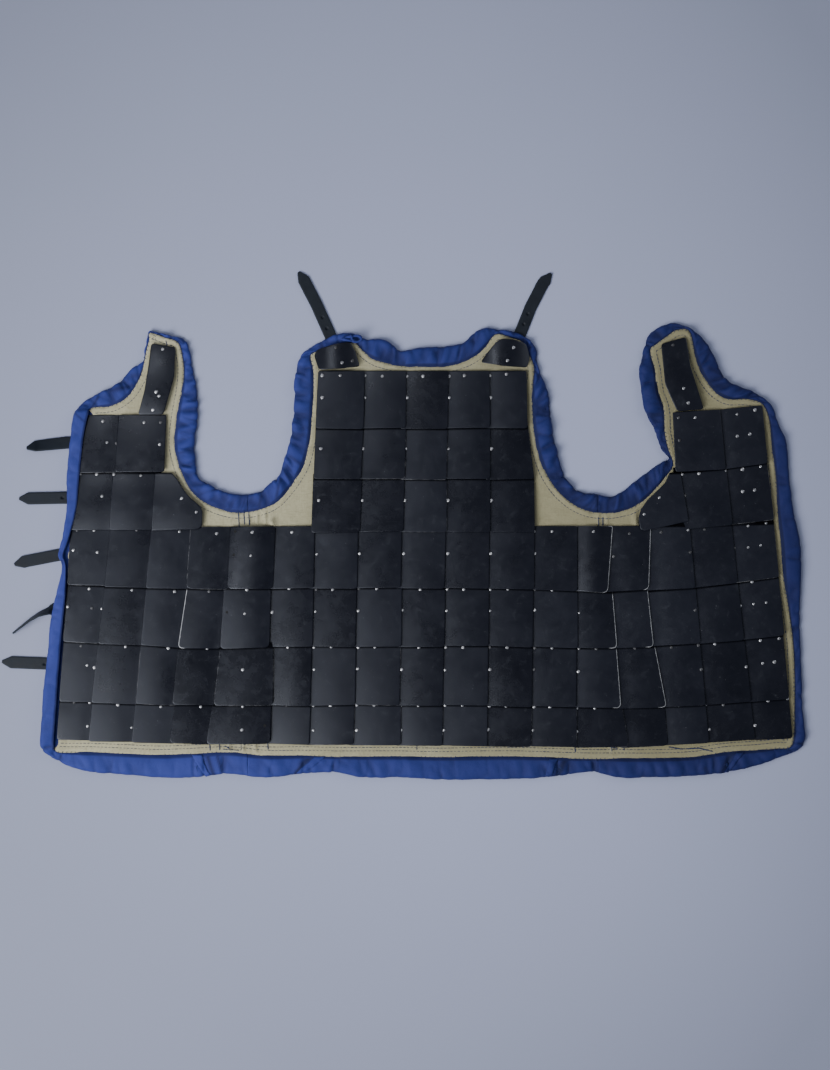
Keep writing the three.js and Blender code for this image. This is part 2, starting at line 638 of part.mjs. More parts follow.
const group = new THREE.Group();
group.name = 'brigandine';
nodes.forEach(([name, solid, colour]) => {
  const {vertProperties, triVerts} = solid.translate(shift).getMesh();
  const geometry = new THREE.BufferGeometry();
  geometry.setAttribute('position', new THREE.BufferAttribute(new Float32Array(vertProperties), 3));
  geometry.setIndex([...triVerts]);
  const mesh = new THREE.Mesh(geometry, new THREE.MeshStandardMaterial({color: COLOURS[colour]}));
  mesh.name = name;
  group.add(mesh);
});

export default group;
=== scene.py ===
"""A brigandine, opened out and laid flat with its inside up.

Tables are in millimetres from the middle of the garment, X to the right and Y away from the hem.
Meshes are in metres.
"""

import json
import math
import random

import bpy
import bmesh
import numpy as np
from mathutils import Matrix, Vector, geometry, noise
from mathutils.bvhtree import BVHTree
from mathutils.kdtree import KDTree

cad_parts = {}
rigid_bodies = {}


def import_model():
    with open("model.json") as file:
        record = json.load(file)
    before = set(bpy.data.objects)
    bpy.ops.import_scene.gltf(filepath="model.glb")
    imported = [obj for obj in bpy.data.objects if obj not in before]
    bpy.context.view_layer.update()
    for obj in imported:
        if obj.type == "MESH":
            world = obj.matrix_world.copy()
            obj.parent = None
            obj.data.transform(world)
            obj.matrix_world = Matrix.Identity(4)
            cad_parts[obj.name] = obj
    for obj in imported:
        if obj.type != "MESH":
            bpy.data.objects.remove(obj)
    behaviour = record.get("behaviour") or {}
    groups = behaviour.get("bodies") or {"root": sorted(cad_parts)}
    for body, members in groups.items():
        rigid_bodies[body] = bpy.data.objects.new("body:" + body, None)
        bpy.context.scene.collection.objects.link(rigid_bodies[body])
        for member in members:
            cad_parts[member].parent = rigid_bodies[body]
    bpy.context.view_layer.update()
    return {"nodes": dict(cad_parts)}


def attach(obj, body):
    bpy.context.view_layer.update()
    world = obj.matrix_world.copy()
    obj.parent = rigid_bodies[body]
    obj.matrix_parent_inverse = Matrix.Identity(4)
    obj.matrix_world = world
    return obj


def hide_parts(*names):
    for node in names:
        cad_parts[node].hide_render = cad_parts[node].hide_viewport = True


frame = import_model()

MM = 0.001
# Thickness of each layer
CLOTH = 1.2
CANVAS = 1.0
PLATE = 1.2
# Height of each underside: cloth, canvas in the middle and at its rim, plates
CLOTH_Z = 3.3
CANVAS_Z = 4.8
RIM_Z = 6.3
PLATE_Z = 6.1
# Height of the plates that the left front's fold lies over, and the room under a fold's top
OVER_Z = 13.6
FOLD_ROOM = 3.2
# Plates: how far each goes under the next, how much its side and its foot rise, and its arch
TUCK = 9.0
SIDE_RISE = 3.0
ROW_RISE = 3.9
ARCH = 1.3
# Length between two stations round the edge, and spacing of points inside a plate
STATION_STEP = 2.2
PLATE_STEP = 6.0
# Rings of a plate's edge: how far in from its outline, and how far below its face
PLATE_EDGE = ((0.0, PLATE), (0.0, 0.5), (0.35, 0.12), (0.8, 0.0))
PLATE_FACE = 1.7

# Outer edge of the cloth and the edge its turning makes inside, round the garment
EDGES = {
    "left_armhole": [
        (-367, 283, -367, 279), (-338, 275, -344, 272), (-318, 271, -328, 266), (-310, 253, -322, 253),
        (-304, 224, -318, 224), (-298, 189, -321, 193), (-298, 154, -327, 161), (-302, 125, -331, 125),
        (-301, 95, -328, 99), (-297, 70, -320, 74), (-284, 61, -309, 53), (-265, 51, -289, 34),
        (-245, 46, -257, 21), (-222, 46, -231, 19), (-206, 50, -204, 24), (-193, 62, -184, 34),
        (-181, 71, -169, 50), (-175, 89, -157, 66), (-167, 113, -144, 90), (-162, 140, -136, 124),
        (-159, 171, -132, 169), (-158, 205, -130, 202), (-155, 229, -131, 228),
    ],
    "back_neck": [
        (-145, 250, -133, 248), (-120, 267, -113, 254), (-97, 277, -91, 260), (-75, 279, -72, 265),
        (-62, 274, -65, 260), (-51, 270, -57, 252), (-33, 270, -42, 241), (-17, 264, -23, 235),
        (-1, 253, -4, 231), (28, 258, 28, 231), (64, 260, 57, 231), (87, 265, 81, 235),
        (100, 277, 103, 245), (116, 286, 120, 260), (136, 285, 135, 277), (160, 282, 157, 272),
        (180, 272, 174, 265), (194, 256, 183, 247),
    ],
    "right_armhole": [
        (196, 231, 190, 228), (206, 206, 188, 202), (213, 183, 188, 173), (216, 147, 190, 142),
        (222, 115, 196, 108), (231, 82, 207, 77), (244, 59, 222, 53), (261, 48, 242, 34),
        (277, 47, 265, 22), (296, 42, 291, 18), (315, 47, 312, 20), (329, 58, 335, 27), (351, 75, 358, 45),
        (374, 91, 376, 65), (386, 98, 392, 87), (374, 111, 385, 111), (365, 138, 380, 134),
        (351, 166, 378, 167), (346, 195, 369, 196), (343, 224, 365, 225), (348, 251, 359, 254),
    ],
    "right_neck": [
        (357, 277, 368, 263), (374, 288, 383, 274), (394, 294, 397, 283), (416, 286, 415, 282),
        (435, 272, 422, 256), (451, 247, 428, 234), (463, 221, 437, 215), (478, 206, 451, 196),
        (497, 199, 471, 184), (518, 189, 500, 183),
    ],
    "right_front": [
        (536, 173, 521, 176), (545, 148, 531, 154), (557, 118, 535, 118), (561, 70, 541, 70),
        (567, 21, 544, 21), (577, -27, 549, -24), (578, -78, 553, -78), (576, -124, 560, -124),
        (577, -172, 566, -172), (579, -223, 568, -216), (580, -266, 568, -266), (584, -310, 567, -307),
    ],
    "hem": [
        (573, -327, 561, -322), (547, -337, 541, -324), (510, -350, 510, -327), (467, -359, 467, -330),
        (419, -364, 419, -337), (365, -366, 365, -339), (315, -366, 315, -339), (271, -358, 271, -339),
        (228, -364, 228, -338), (170, -368, 170, -336), (112, -369, 112, -336), (54, -369, 54, -337),
        (-4, -366, -4, -336), (-55, -366, -55, -336), (-99, -359, -99, -336), (-149, -361, -149, -335),
        (-200, -366, -200, -335), (-254, -361, -251, -330), (-302, -366, -302, -332),
        (-352, -366, -352, -334), (-403, -362, -403, -332), (-454, -358, -451, -330),
        (-489, -348, -485, -330), (-512, -335, -503, -328),
    ],
    "left_front": [
        (-526, -320, -506, -317), (-524, -274, -503, -274), (-521, -230, -500, -230),
        (-515, -179, -496, -179), (-511, -133, -492, -136), (-502, -95, -489, -100), (-495, -63, -488, -61),
        (-500, -42, -492, -43), (-494, -17, -484, -20), (-488, 24, -473, 24), (-488, 70, -469, 67),
        (-483, 125, -463, 125), (-477, 163, -456, 160),
    ],
    "left_neck": [
        (-460, 182, -451, 170), (-432, 197, -422, 174), (-415, 206, -400, 187), (-394, 227, -386, 206),
        (-377, 238, -378, 225), (-376, 253, -372, 254), (-372, 270, -368, 269),
    ],
}
# How strongly each stretch of the turned edge is gathered
GATHER = {
    "left_armhole": 1.0, "back_neck": 0.9, "right_armhole": 1.0, "right_neck": 0.8,
    "right_front": 0.3, "hem": 0.35, "left_front": 0.25, "left_neck": 0.7,
}
# Where the side seams are, left and right, and half the gap there
SEAMS = (-225, 283)
SEAM_GAP = 0.15

# Deep folds across the turned edge: where, how deep, how wide
FOLDS = [
    (-207, 60, 2.6, 5), (-184, 66, 3.0, 5), (-172, 92, 2.6, 6), (-160, 160, 1.6, 7), (-300, 110, 1.8, 7),
    (-297, 84, 2.6, 5), (-250, 50, 2.0, 6), (-232, 52, 1.6, 5), (-120, 266, 1.8, 6), (-63, 276, 3.0, 5),
    (-12, 262, 2.2, 7), (88, 258, 2.4, 6), (60, 262, 1.8, 6), (190, 262, 2.4, 6), (214, 170, 2.0, 6),
    (236, 72, 2.6, 6), (255, 50, 3.0, 6), (280, 46, 2.6, 4), (310, 44, 2.6, 5), (338, 62, 1.6, 6),
    (372, 90, 2.0, 5), (383, 98, 3.2, 6), (350, 160, 1.8, 7), (357, 262, 3.0, 6), (366, 282, 1.8, 5),
    (440, 262, 1.8, 6), (468, 212, 3.2, 5), (480, 204, 2.4, 5), (500, 198, 2.0, 5), (532, 178, 1.8, 7),
    (563, 60, 1.6, 8), (577, -50, 2.0, 8), (578, -150, 1.6, 9), (583, -318, 3.0, 6), (566, -332, 2.6, 5),
    (472, -359, 2.2, 6), (450, -362, 1.6, 5), (240, -362, 2.6, 6), (224, -364, 2.2, 5), (275, -356, 2.4, 6),
    (-100, -358, 2.6, 7), (-145, -360, 2.8, 5), (-262, -362, 2.6, 6), (-290, -364, 2.2, 5),
    (-304, -366, 1.8, 4), (-500, -345, 2.6, 6), (-524, -322, 3.0, 5), (-498, -52, 2.6, 9),
    (-509, -120, 1.4, 9), (-412, 208, 2.2, 5), (-428, 198, 2.8, 5), (-450, 188, 2.0, 6),
    (-385, 234, 1.8, 5),
]

# Shaded valleys beside the seam tabs and folds: from, to, half width, how dark
VALLEYS = [
    ((-284, -334), (-275, -361), 3.6, 1.0), ((-269, -336), (-262, -357), 2.6, 0.9),
    ((-135, -336), (-146, -347), 5.5, 1.0), ((-146, -347), (-156, -360), 3.0, 1.0),
    ((236, -338), (224, -362), 6.0, 1.0), ((476, -331), (463, -357), 4.6, 0.9),
    ((-425, 195), (-393, 202), 4.6, 0.85), ((-452, 170), (-442, 186), 2.4, 0.9),
    ((-477, 164), (-460, 149), 1.8, 0.6), ((-404, 186), (-398, 214), 2.6, 0.5),
    ((-365, 262), (-360, 270), 2.4, 0.5), ((438, -352), (442, -360), 3.0, 0.6),
    ((-207, 28), (-204, 56), 3.4, 0.9), ((-184, 38), (-178, 66), 2.6, 0.7),
    ((190, 174), (215, 160), 6.5, 0.8), ((-262, 52), (-257, 24), 2.6, 0.6),
    ((-240, 46), (-240, 24), 2.2, 0.5), ((-219, 50), (-219, 26), 2.4, 0.7),
    ((-165, 100), (-144, 86), 2.8, 0.7), ((-176, 84), (-160, 60), 2.6, 0.7),
    ((-300, 112), (-326, 104), 2.4, 0.6), ((-298, 95), (-322, 84), 2.4, 0.6),
    ((-296, 140), (-322, 134), 2.2, 0.45), ((-16, 262), (-12, 240), 2.6, 0.5),
    ((88, 264), (90, 240), 2.6, 0.6), ((104, 274), (100, 252), 2.2, 0.5), ((262, 48), (256, 30), 2.2, 0.6),
    ((282, 46), (280, 24), 2.6, 0.8), ((300, 44), (300, 22), 2.4, 0.6), ((316, 46), (313, 22), 2.6, 0.7),
    ((-159, 150), (-136, 140), 2.4, 0.5), ((296, 22), (300, 36), 3.6, 0.7),
    ((-392, 216), (-374, 218), 5.0, 0.7), ((444, 228), (462, 218), 4.0, 0.6),
]
# Seam tabs that lie over the turned hem: their two sides, from the lining outward
TABS = [
    (
        [(-306, -333), (-300, -343), (-293, -354), (-286, -365)],
        [(-291, -333), (-289, -343), (-284, -355), (-279, -363)],
    ),
    (
        [(-128, -336), (-137, -344), (-147, -352), (-155, -360)],
        [(-112, -335), (-121, -342), (-131, -350), (-139, -356)],
    ),
    (
        [(212, -339), (210, -347), (208, -355), (206, -363)],
        [(225, -339), (221, -347), (218, -355), (216, -364)],
    ),
    (
        [(483, -330), (478, -339), (472, -348), (466, -358)],
        [(495, -329), (487, -338), (480, -348), (472, -359)],
    ),
]

# Skirt: four rows of seventeen plates. Column lines run from the top of the skirt to its foot.
COLUMNS = [
    (-482, -503), (-424, -457), (-365, -393), (-308, -339), (-252, -285), (-184, -190), (-128, -134),
    (-65, -71), (-1, -4), (63, 57), (125, 122), (190, 187), (253, 252), (300, 329), (360, 383), (416, 444),
    (477, 511), (538, 566),
]
ROW_KNOTS = (-497, -294, -91, 126, 307, 431, 554)
ROW_LINES = [
    (-5, -2, -1, -1, -1, -1, 3),
    (-87, -93, -91, -91, -97, -91, -74),
    (-169, -179, -176, -176, -179, -172, -159),
    (-256, -261, -261, -261, -266, -261, -252),
    (-311, -317, -318, -320, -323, -316, -308),
]
PANELS = (("left_front", 0, 4), ("back", 5, 11), ("right_front", 12, 16))

# Back of the chest: height of each line of plates, and where its corners are
BACK_LINES = [
    (224, (-123, -55, 5, 67, 126, 179)),
    (140, (-127, -57, 4, 65, 127, 180)),
    (66, (-130, -60, 2, 64, 127, 190)),
    (-10, (-132, -63, 1, 64, 127, 191)),
]

# Upper fronts: corners along the top and the foot of each row
FRONT_ROWS = {
    "left_front_upper": {
        "top": [(-462, 160), (-413, 160), (-343, 160)],
        "foot": [(-474, 76), (-418, 76), (-346, 76)],
        "over": "right",
        "bend": 1.2,
    },
    "left_front_waist": {
        "top": [(-474, 76), (-421, 76), (-360, 76), (-290, 76)],
        "foot": [(-488, -8), (-425, -8), (-364, -8), (-291, -6)],
        "over": "right",
        "bend": 2.4,
        "armhole": [
            (-347, 76), (-335, 76), (-327, 67), (-319, 53), (-309, 41), (-294, 28), (-290, 20),
            (-291, -1), (-297, -6), (-364, -8), (-360, 76),
        ],
    },
    "right_front_upper": {
        "top": [(391, 164), (460, 168), (521, 174)],
        "foot": [(395, 76), (468, 82), (528, 90)],
        "over": "left",
        "bend": 1.6,
    },
    "right_front_waist": {
        "top": [(346, 74), (402, 76), (469, 82), (528, 90)],
        "foot": [(344, -7), (416, -5), (477, 0), (538, 7)],
        "over": "left",
        "bend": 0.5,
        "armhole": [
            (386, 76), (380, 62), (368, 50), (354, 37), (344, 22), (341, 10), (344, -6), (350, -8),
            (414, 6), (402, 76),
        ],
    },
}
SHOULDERS = {
    "left_front_shoulder": [
        (-365, 264), (-330, 258), (-331, 215), (-339, 186), (-347, 160), (-384, 160), (-374, 195),
        (-368, 234),
    ],
    "right_front_shoulder": [
        (374, 263), (410, 273), (416, 230), (423, 208), (436, 168), (397, 165), (387, 186), (379, 205),
    ],
    "left_back_shoulder": [
        (-129, 246), (-125, 254), (-100, 262), (-77, 266), (-69, 252), (-62, 230), (-92, 226), (-122, 225),
    ],
    "right_back_shoulder": [
        (112, 236), (120, 247), (131, 261), (141, 270), (160, 269), (179, 263), (184, 243), (180, 228),
        (146, 230),
    ],
}

# Rivet tails, row by row
RIVETS = {
    "shoulders": [
        (-348, 254), (-357, 192), (-353, 186), (-362, 166), (-97, 256), (-88, 234), (-73, 237), (160, 256),
        (151, 237), (391, 260), (406, 197), (413, 176),
    ],
    "left_upper": [
        (-435, 150), (-375, 148), (-351, 148), (-429, 119), (-415, 118), (-352, 116), (-468, 73),
        (-444, 73), (-419, 73), (-380, 71), (-436, 41), (-421, 40), (-320, 38), (-299, 18), (-473, -8),
        (-448, -8), (-386, -8), (-324, -10), (-270, -13),
    ],
    "right_upper": [
        (399, 155), (423, 155), (400, 122), (484, 160), (510, 166), (484, 128), (502, 131), (405, 73),
        (429, 74), (468, 78), (492, 80), (518, 84), (371, 39), (409, 42), (349, 15), (492, 48), (509, 50),
    ],
    "back": [
        (-117, 216), (-91, 216), (-55, 216), (-30, 215), (6, 215), (29, 215), (67, 215), (89, 216),
        (126, 216), (150, 218), (-117, 184), (-55, 184), (6, 184), (67, 184), (127, 184), (-119, 110),
        (-58, 110), (4, 110), (66, 110), (128, 110), (-122, 35), (-59, 35), (3, 35), (65, 35), (128, 35),
    ],
    "skirt_a": [
        (-218, -11), (-220, -45), (-161, -11), (-99, -10), (73, -9), (190, -10), (216, -10), (276, -10),
        (328, -13), (374, -11), (413, -8), (437, -7), (500, -2), (526, 2), (-478, -37), (-443, -40),
        (-125, -43), (-63, -42), (1, -42), (65, -42), (127, -42), (191, -42), (305, -46), (416, -40),
        (480, -34), (500, -33), (518, -30),
    ],
    "skirt_b": [
        (-455, -93), (-393, -95), (-331, -97), (-281, -97), (-226, -94), (-165, -92), (-126, -94),
        (-102, -94), (-64, -93), (-38, -93), (25, -94), (64, -94), (88, -94), (126, -94), (152, -94),
        (191, -94), (216, -95), (361, -92), (506, -83), (-486, -119), (-451, -121), (-436, -122),
        (-229, -129), (-190, -127), (-127, -126), (-65, -125), (-1, -124), (63, -125), (126, -125),
        (191, -124), (255, -128), (423, -124), (489, -118), (508, -115), (526, -113),
    ],
    "skirt_c": [
        (-493, -176), (-467, -176), (-402, -177), (-340, -179), (-284, -179), (-167, -178), (-129, -178),
        (-104, -177), (-65, -178), (-41, -178), (23, -178), (62, -178), (87, -178), (126, -178),
        (151, -178), (191, -179), (216, -179), (255, -180), (280, -180), (336, -179), (389, -178),
        (428, -175), (452, -173), (518, -168), (545, -165), (-497, -203), (-458, -204), (-447, -207),
        (-232, -210), (-129, -210), (-66, -209), (-2, -210), (61, -211), (126, -210), (190, -210),
        (254, -213), (432, -210), (497, -206), (521, -201), (538, -199),
    ],
    "skirt_d": [
        (-477, -258), (-454, -258), (-413, -261), (-351, -264), (-293, -264), (-232, -263), (-169, -262),
        (-130, -262), (-105, -262), (-67, -262), (-42, -262), (-3, -262), (22, -262), (61, -262),
        (86, -262), (125, -263), (149, -263), (190, -264), (213, -264), (252, -266), (278, -266),
        (339, -264), (399, -262), (439, -261), (464, -261), (529, -255), (557, -252), (-457, -292),
        (-393, -294), (-233, -297), (-130, -298), (-67, -298), (-3, -298), (59, -298), (123, -297),
        (188, -298), (252, -300), (444, -297), (510, -291), (562, -285),
    ],
}
# Tails that have gone dull, as the places of ones in the table above
DULL = {
    (305, -46), (416, -40), (480, -34), (423, -124), (432, -210), (389, -178), (428, -175), (328, -13),
    (374, -11), (336, -179), (280, -180), (339, -264), (464, -261), (-73, 237), (-386, -8), (-421, 40),
    (-415, 118), (399, 155), (400, 122), (409, 42), (391, 260), (-473, -8), (-451, -121), (-351, 148),
    (-97, 256), (-281, -97), (-467, -176), (-477, -258), (-126, -94), (-64, -93), (191, -94), (190, -210),
    (126, -178), (191, -179), (-169, -262), (437, -7),
}
EMPTY_HOLES = [(-245, -43), (-243, -9), (-255, -126), (-200, -290)]

# Straps: middle line, how many degrees each place rolls onto its edge, and holes
STRAPS = {
    "strap_front_1": {"line": [(-454, 120), (-489, 120), (-534, 115), (-547, 112)], "roll": (0, 8, 28, 30)},
    "strap_front_2": {"line": [(-454, 40), (-489, 40), (-542, 39), (-558, 39)], "holes": [(-495, 40)]},
    "strap_front_3": {"line": [(-463, -39), (-500, -43), (-547, -52), (-565, -57)]},
    "strap_front_4": {
        "line": [
            (-471, -116), (-505, -121), (-514, -124), (-528, -129), (-541, -137), (-555, -148), (-567, -157),
        ],
        "roll": (0, 8, 56, 72, 80, 84, 84),
    },
    "strap_front_5": {
        "line": [(-480, -203), (-518, -201), (-571, -199), (-583, -198)],
        "holes": [(-521, -202)],
    },
    "strap_left_shoulder": {
        "line": [(-88, 232), (-105, 274), (-126, 321), (-144, 356), (-152, 368)],
        "holes": [(-117, 302), (-111, 286)],
    },
    "strap_right_shoulder": {
        "line": [(151, 241), (170, 278), (185, 316), (203, 351), (215, 366)],
        "holes": [(181, 307), (175, 292)],
    },
}


def mix(a, b, t):
    return a + (b - a) * t


def clamp(x):
    return min(1.0, max(0.0, x))


def smooth(a, b, x):
    t = clamp((x - a) / (b - a))
    return t * t * (3 - 2 * t)


def place_mesh(name, mesh, material=None):
    """An object for a mesh, in the scene, with its material."""
    obj = bpy.data.objects.new(name, mesh)
    bpy.context.collection.objects.link(obj)
    if material:
        mesh.materials.append(material)
    mesh.shade_smooth()
    return obj


def make_object(name, points, faces, material=None):
    mesh = bpy.data.meshes.new(name)
    mesh.from_pydata([(x * MM, y * MM, z * MM) for x, y, z in points], [], faces)
    mesh.update()
    return place_mesh(name, mesh, material)


def mark(obj, name, values):
    """Writes one number for each point of a piece, for its material to read."""
    obj.data.attributes.new(name, "FLOAT", "POINT").data.foreach_set("value", values)


def outward(obj):
    """Joins points that meet and turns every face outward."""
    work = bmesh.new()
    work.from_mesh(obj.data)
    bmesh.ops.remove_doubles(work, verts=work.verts, dist=1e-6)
    bmesh.ops.recalc_face_normals(work, faces=work.faces)
    work.to_mesh(obj.data)
    work.free()


def loft(rings, sides):
    """Faces between closed rings of points that follow one another."""
    return [
        (r * sides + i, r * sides + (i + 1) % sides, (r + 1) * sides + (i + 1) % sides, (r + 1) * sides + i)
        for r in range(rings - 1)
        for i in range(sides)
    ]


def fill(ring, inside=()):
    """Points and triangles that fill a closed ring, through the points inside it."""
    edges = [(i, (i + 1) % len(ring)) for i in range(len(ring))]
    verts, _, tris, *_ = geometry.delaunay_2d_cdt([*ring, *inside], edges, [], 1, 1e-4)
    return verts, tris


def distance_to(points):
    """A rule that says how far a place is from the nearest of some points."""
    tree = KDTree(len(points))
    for i, (x, y) in enumerate(points):
        tree.insert((x, y, 0), i)
    tree.balance()
    return lambda x, y: tree.find((x, y, 0))[2]


def lengths_along(path):
    return np.concatenate([[0], np.cumsum(np.linalg.norm(np.diff(path, axis=0), axis=1))])


def place_and_way(path, lengths, s, reach):
    """The point at a length along a path, and the way the path goes there."""
    (x, y), (fx, fy), (bx, by) = (
        [np.interp(at, lengths, path[:, k]) for k in (0, 1)] for at in (s, s + reach, s - reach)
    )
    size = math.hypot(fx - bx, fy - by) or 1.0
    return x, y, (fx - bx) / size, (fy - by) / size


# Materials


def add_node(tree, kind, inputs=(), **settings):
    """A node whose inputs are joined to a socket or given a value. A colour is given in three parts."""
    node = tree.nodes.new(kind)
    for key, value in settings.items():
        setattr(node, key, value)
    for key, value in dict(inputs).items():
        set_input(tree, node.inputs[key], value)
    return node


def set_input(tree, socket, value):
    if isinstance(value, bpy.types.NodeSocket):
        tree.links.new(value, socket)
    else:
        socket.default_value = (*value, 1.0) if socket.type == "RGBA" else value


class Nodes:
    """A material, with short ways to add what its colour and relief are made of."""

    def __init__(self, name):
        self.material = bpy.data.materials.new(name)
        self.material.use_nodes = True
        self.tree = self.material.node_tree
        self.shader = self.tree.nodes["Principled BSDF"]
        self.place = self.tree.nodes.new("ShaderNodeTexCoord").outputs["Object"]

    def add(self, kind, inputs=(), **settings):
        return add_node(self.tree, kind, inputs, **settings)

    def drawn(self, scale=(1.0, 1.0, 1.0), turn=0.0):
        """The place, turned and scaled, so that a pattern runs one way."""
        inputs = {"Vector": self.place, "Rotation": (0, 0, turn), "Scale": scale}
        return self.add("ShaderNodeMapping", inputs).outputs[0]

    def noise(self, scale, detail=3.0, rough=0.55, vector=None, distort=0.0):
        inputs = {"Vector": vector or self.place, "Scale": scale, "Detail": detail, "Roughness": rough}
        inputs["Distortion"] = distort
        return self.add("ShaderNodeTexNoise", inputs).outputs["Fac"]

    def ramp(self, value, stops):
        node = self.add("ShaderNodeValToRGB", {"Fac": value})
        for element, (at, colour) in zip(node.color_ramp.elements, stops):
            element.position = at
            element.color = (*colour, 1.0)
        return node.outputs["Color"]

    def maths(self, operation, a, b):
        return self.add("ShaderNodeMath", {0: a, 1: b}, operation=operation).outputs[0]

    def range(self, value, low, high, to_low=0.0, to_high=1.0):
        inputs = {"Value": value, "From Min": low, "From Max": high, "To Min": to_low, "To Max": to_high}
        return self.add("ShaderNodeMapRange", inputs).outputs["Result"]

    def coats(self, colour, *coats):
        """A colour under coats of paint, each as strong as a range of its value makes it."""
        for value, limits, paint in coats:
            inputs = {0: self.range(value, *limits), 6: colour, 7: paint}
            colour = self.add("ShaderNodeMix", inputs, data_type="RGBA").outputs[2]
        return colour

    def attribute(self, name):
        return self.add("ShaderNodeAttribute", attribute_name=name).outputs["Fac"]

    def across(self, part):
        return self.add("ShaderNodeSeparateXYZ", {0: self.place}).outputs[part]

    def bumps(self, *layers):
        """Relief made of layers: a height, its strength and how deep it goes."""
        inputs = {}
        for height, strength, distance in layers:
            inputs |= {"Height": height, "Strength": strength, "Distance": distance}
            inputs["Normal"] = self.add("ShaderNodeBump", inputs).outputs["Normal"]
        return inputs["Normal"]

    def finish(self, colour, rough, normal, **constants):
        inputs = {"Base Color": colour, "Roughness": rough, "Normal": normal}
        for name, value in constants.items():
            inputs[name.replace("_", " ").title().replace("Ior", "IOR")] = value
        for name, value in inputs.items():
            set_input(self.tree, self.shader.inputs[name], value)
        return self.material


def weave(nodes, pitch, turn=0.0):
    """Two crossing waves, one thread each way."""
    inputs = {"Vector": nodes.drawn(turn=turn), "Scale": 0.5 / (pitch * MM), "Distortion": 1.2}
    inputs |= {"Detail": 2.0, "Detail Scale": 0.4}
    waves = [
        nodes.add("ShaderNodeTexWave", inputs, bands_direction=way).outputs["Fac"] for way in ("X", "Y")
    ]
    return nodes.maths("MULTIPLY", *waves)


def wool_material():
    n = Nodes("blue wool")
    fine = n.noise(420.0, 4.0, 0.7)
    colour = n.coats(
        n.ramp(n.noise(9.0, 4.0), [(0.3, (0.0285, 0.0420, 0.212)), (0.7, (0.0440, 0.0600, 0.285))]),
        (fine, (0.35, 0.75, 0.0, 0.4), (0.040, 0.060, 0.290)),
        (n.noise(1500.0, 3.0, 0.7), (0.55, 0.8, 0.0, 0.2), (0.065, 0.095, 0.330)),
        # Painted shade: the wool darkens toward the right, as if the light fell from the left.
        (n.across(0), (-0.30, 0.42, 0.0, 0.76), (0.0068, 0.0110, 0.062)),
        # Painted shade: the tuck mark darkens the wool deep in creases, in valleys and where the turning
        # ends under the lining.
        (n.attribute("tuck"), (0.0, 1.0, 0.0, 0.75), (0.004, 0.006, 0.022)),
    )
    normal = n.bumps(
        (weave(n, 1.0, 0.2), 0.25, 0.0004), (fine, 0.4, 0.0008), (n.noise(60.0, 3.0), 0.25, 0.004)
    )
    return n.finish(colour, 0.7, normal, sheen_weight=0.02, sheen_roughness=0.4, specular_ior_level=0.18)


def canvas_material():
    n = Nodes("linen canvas")
    threads = weave(n, 0.9)
    streaks = [
        (n.noise(520.0, 3.0, 0.65, n.drawn(scale)), (0.52, 0.72, 0.0, 0.5), (0.35, 0.315, 0.20))
        for scale in ((0.12, 1.0, 1.0), (1.0, 0.12, 1.0))
    ]
    colour = n.coats(
        n.ramp(n.noise(12.0, 4.0), [(0.3, (0.54, 0.505, 0.325)), (0.72, (0.735, 0.695, 0.465))]),
        (n.noise(260.0, 3.0, 0.7), (0.5, 0.8, 0.0, 0.55), (0.33, 0.30, 0.185)),
        *streaks,
        (threads, (0.0, 0.3, 0.35, 0.0), (0.30, 0.27, 0.18)),
        # Painted shade: the lining darkens and yellows toward the right, as if the light fell from the left.
        (n.across(0), (-0.35, 0.4, 0.0, 0.74), (0.26, 0.235, 0.125)),
    )
    normal = n.bumps((threads, 0.6, 0.0006), (n.noise(38.0, 3.0), 0.4, 0.004))
    return n.finish(colour, 0.9, normal, sheen_weight=0.1, specular_ior_level=0.2)


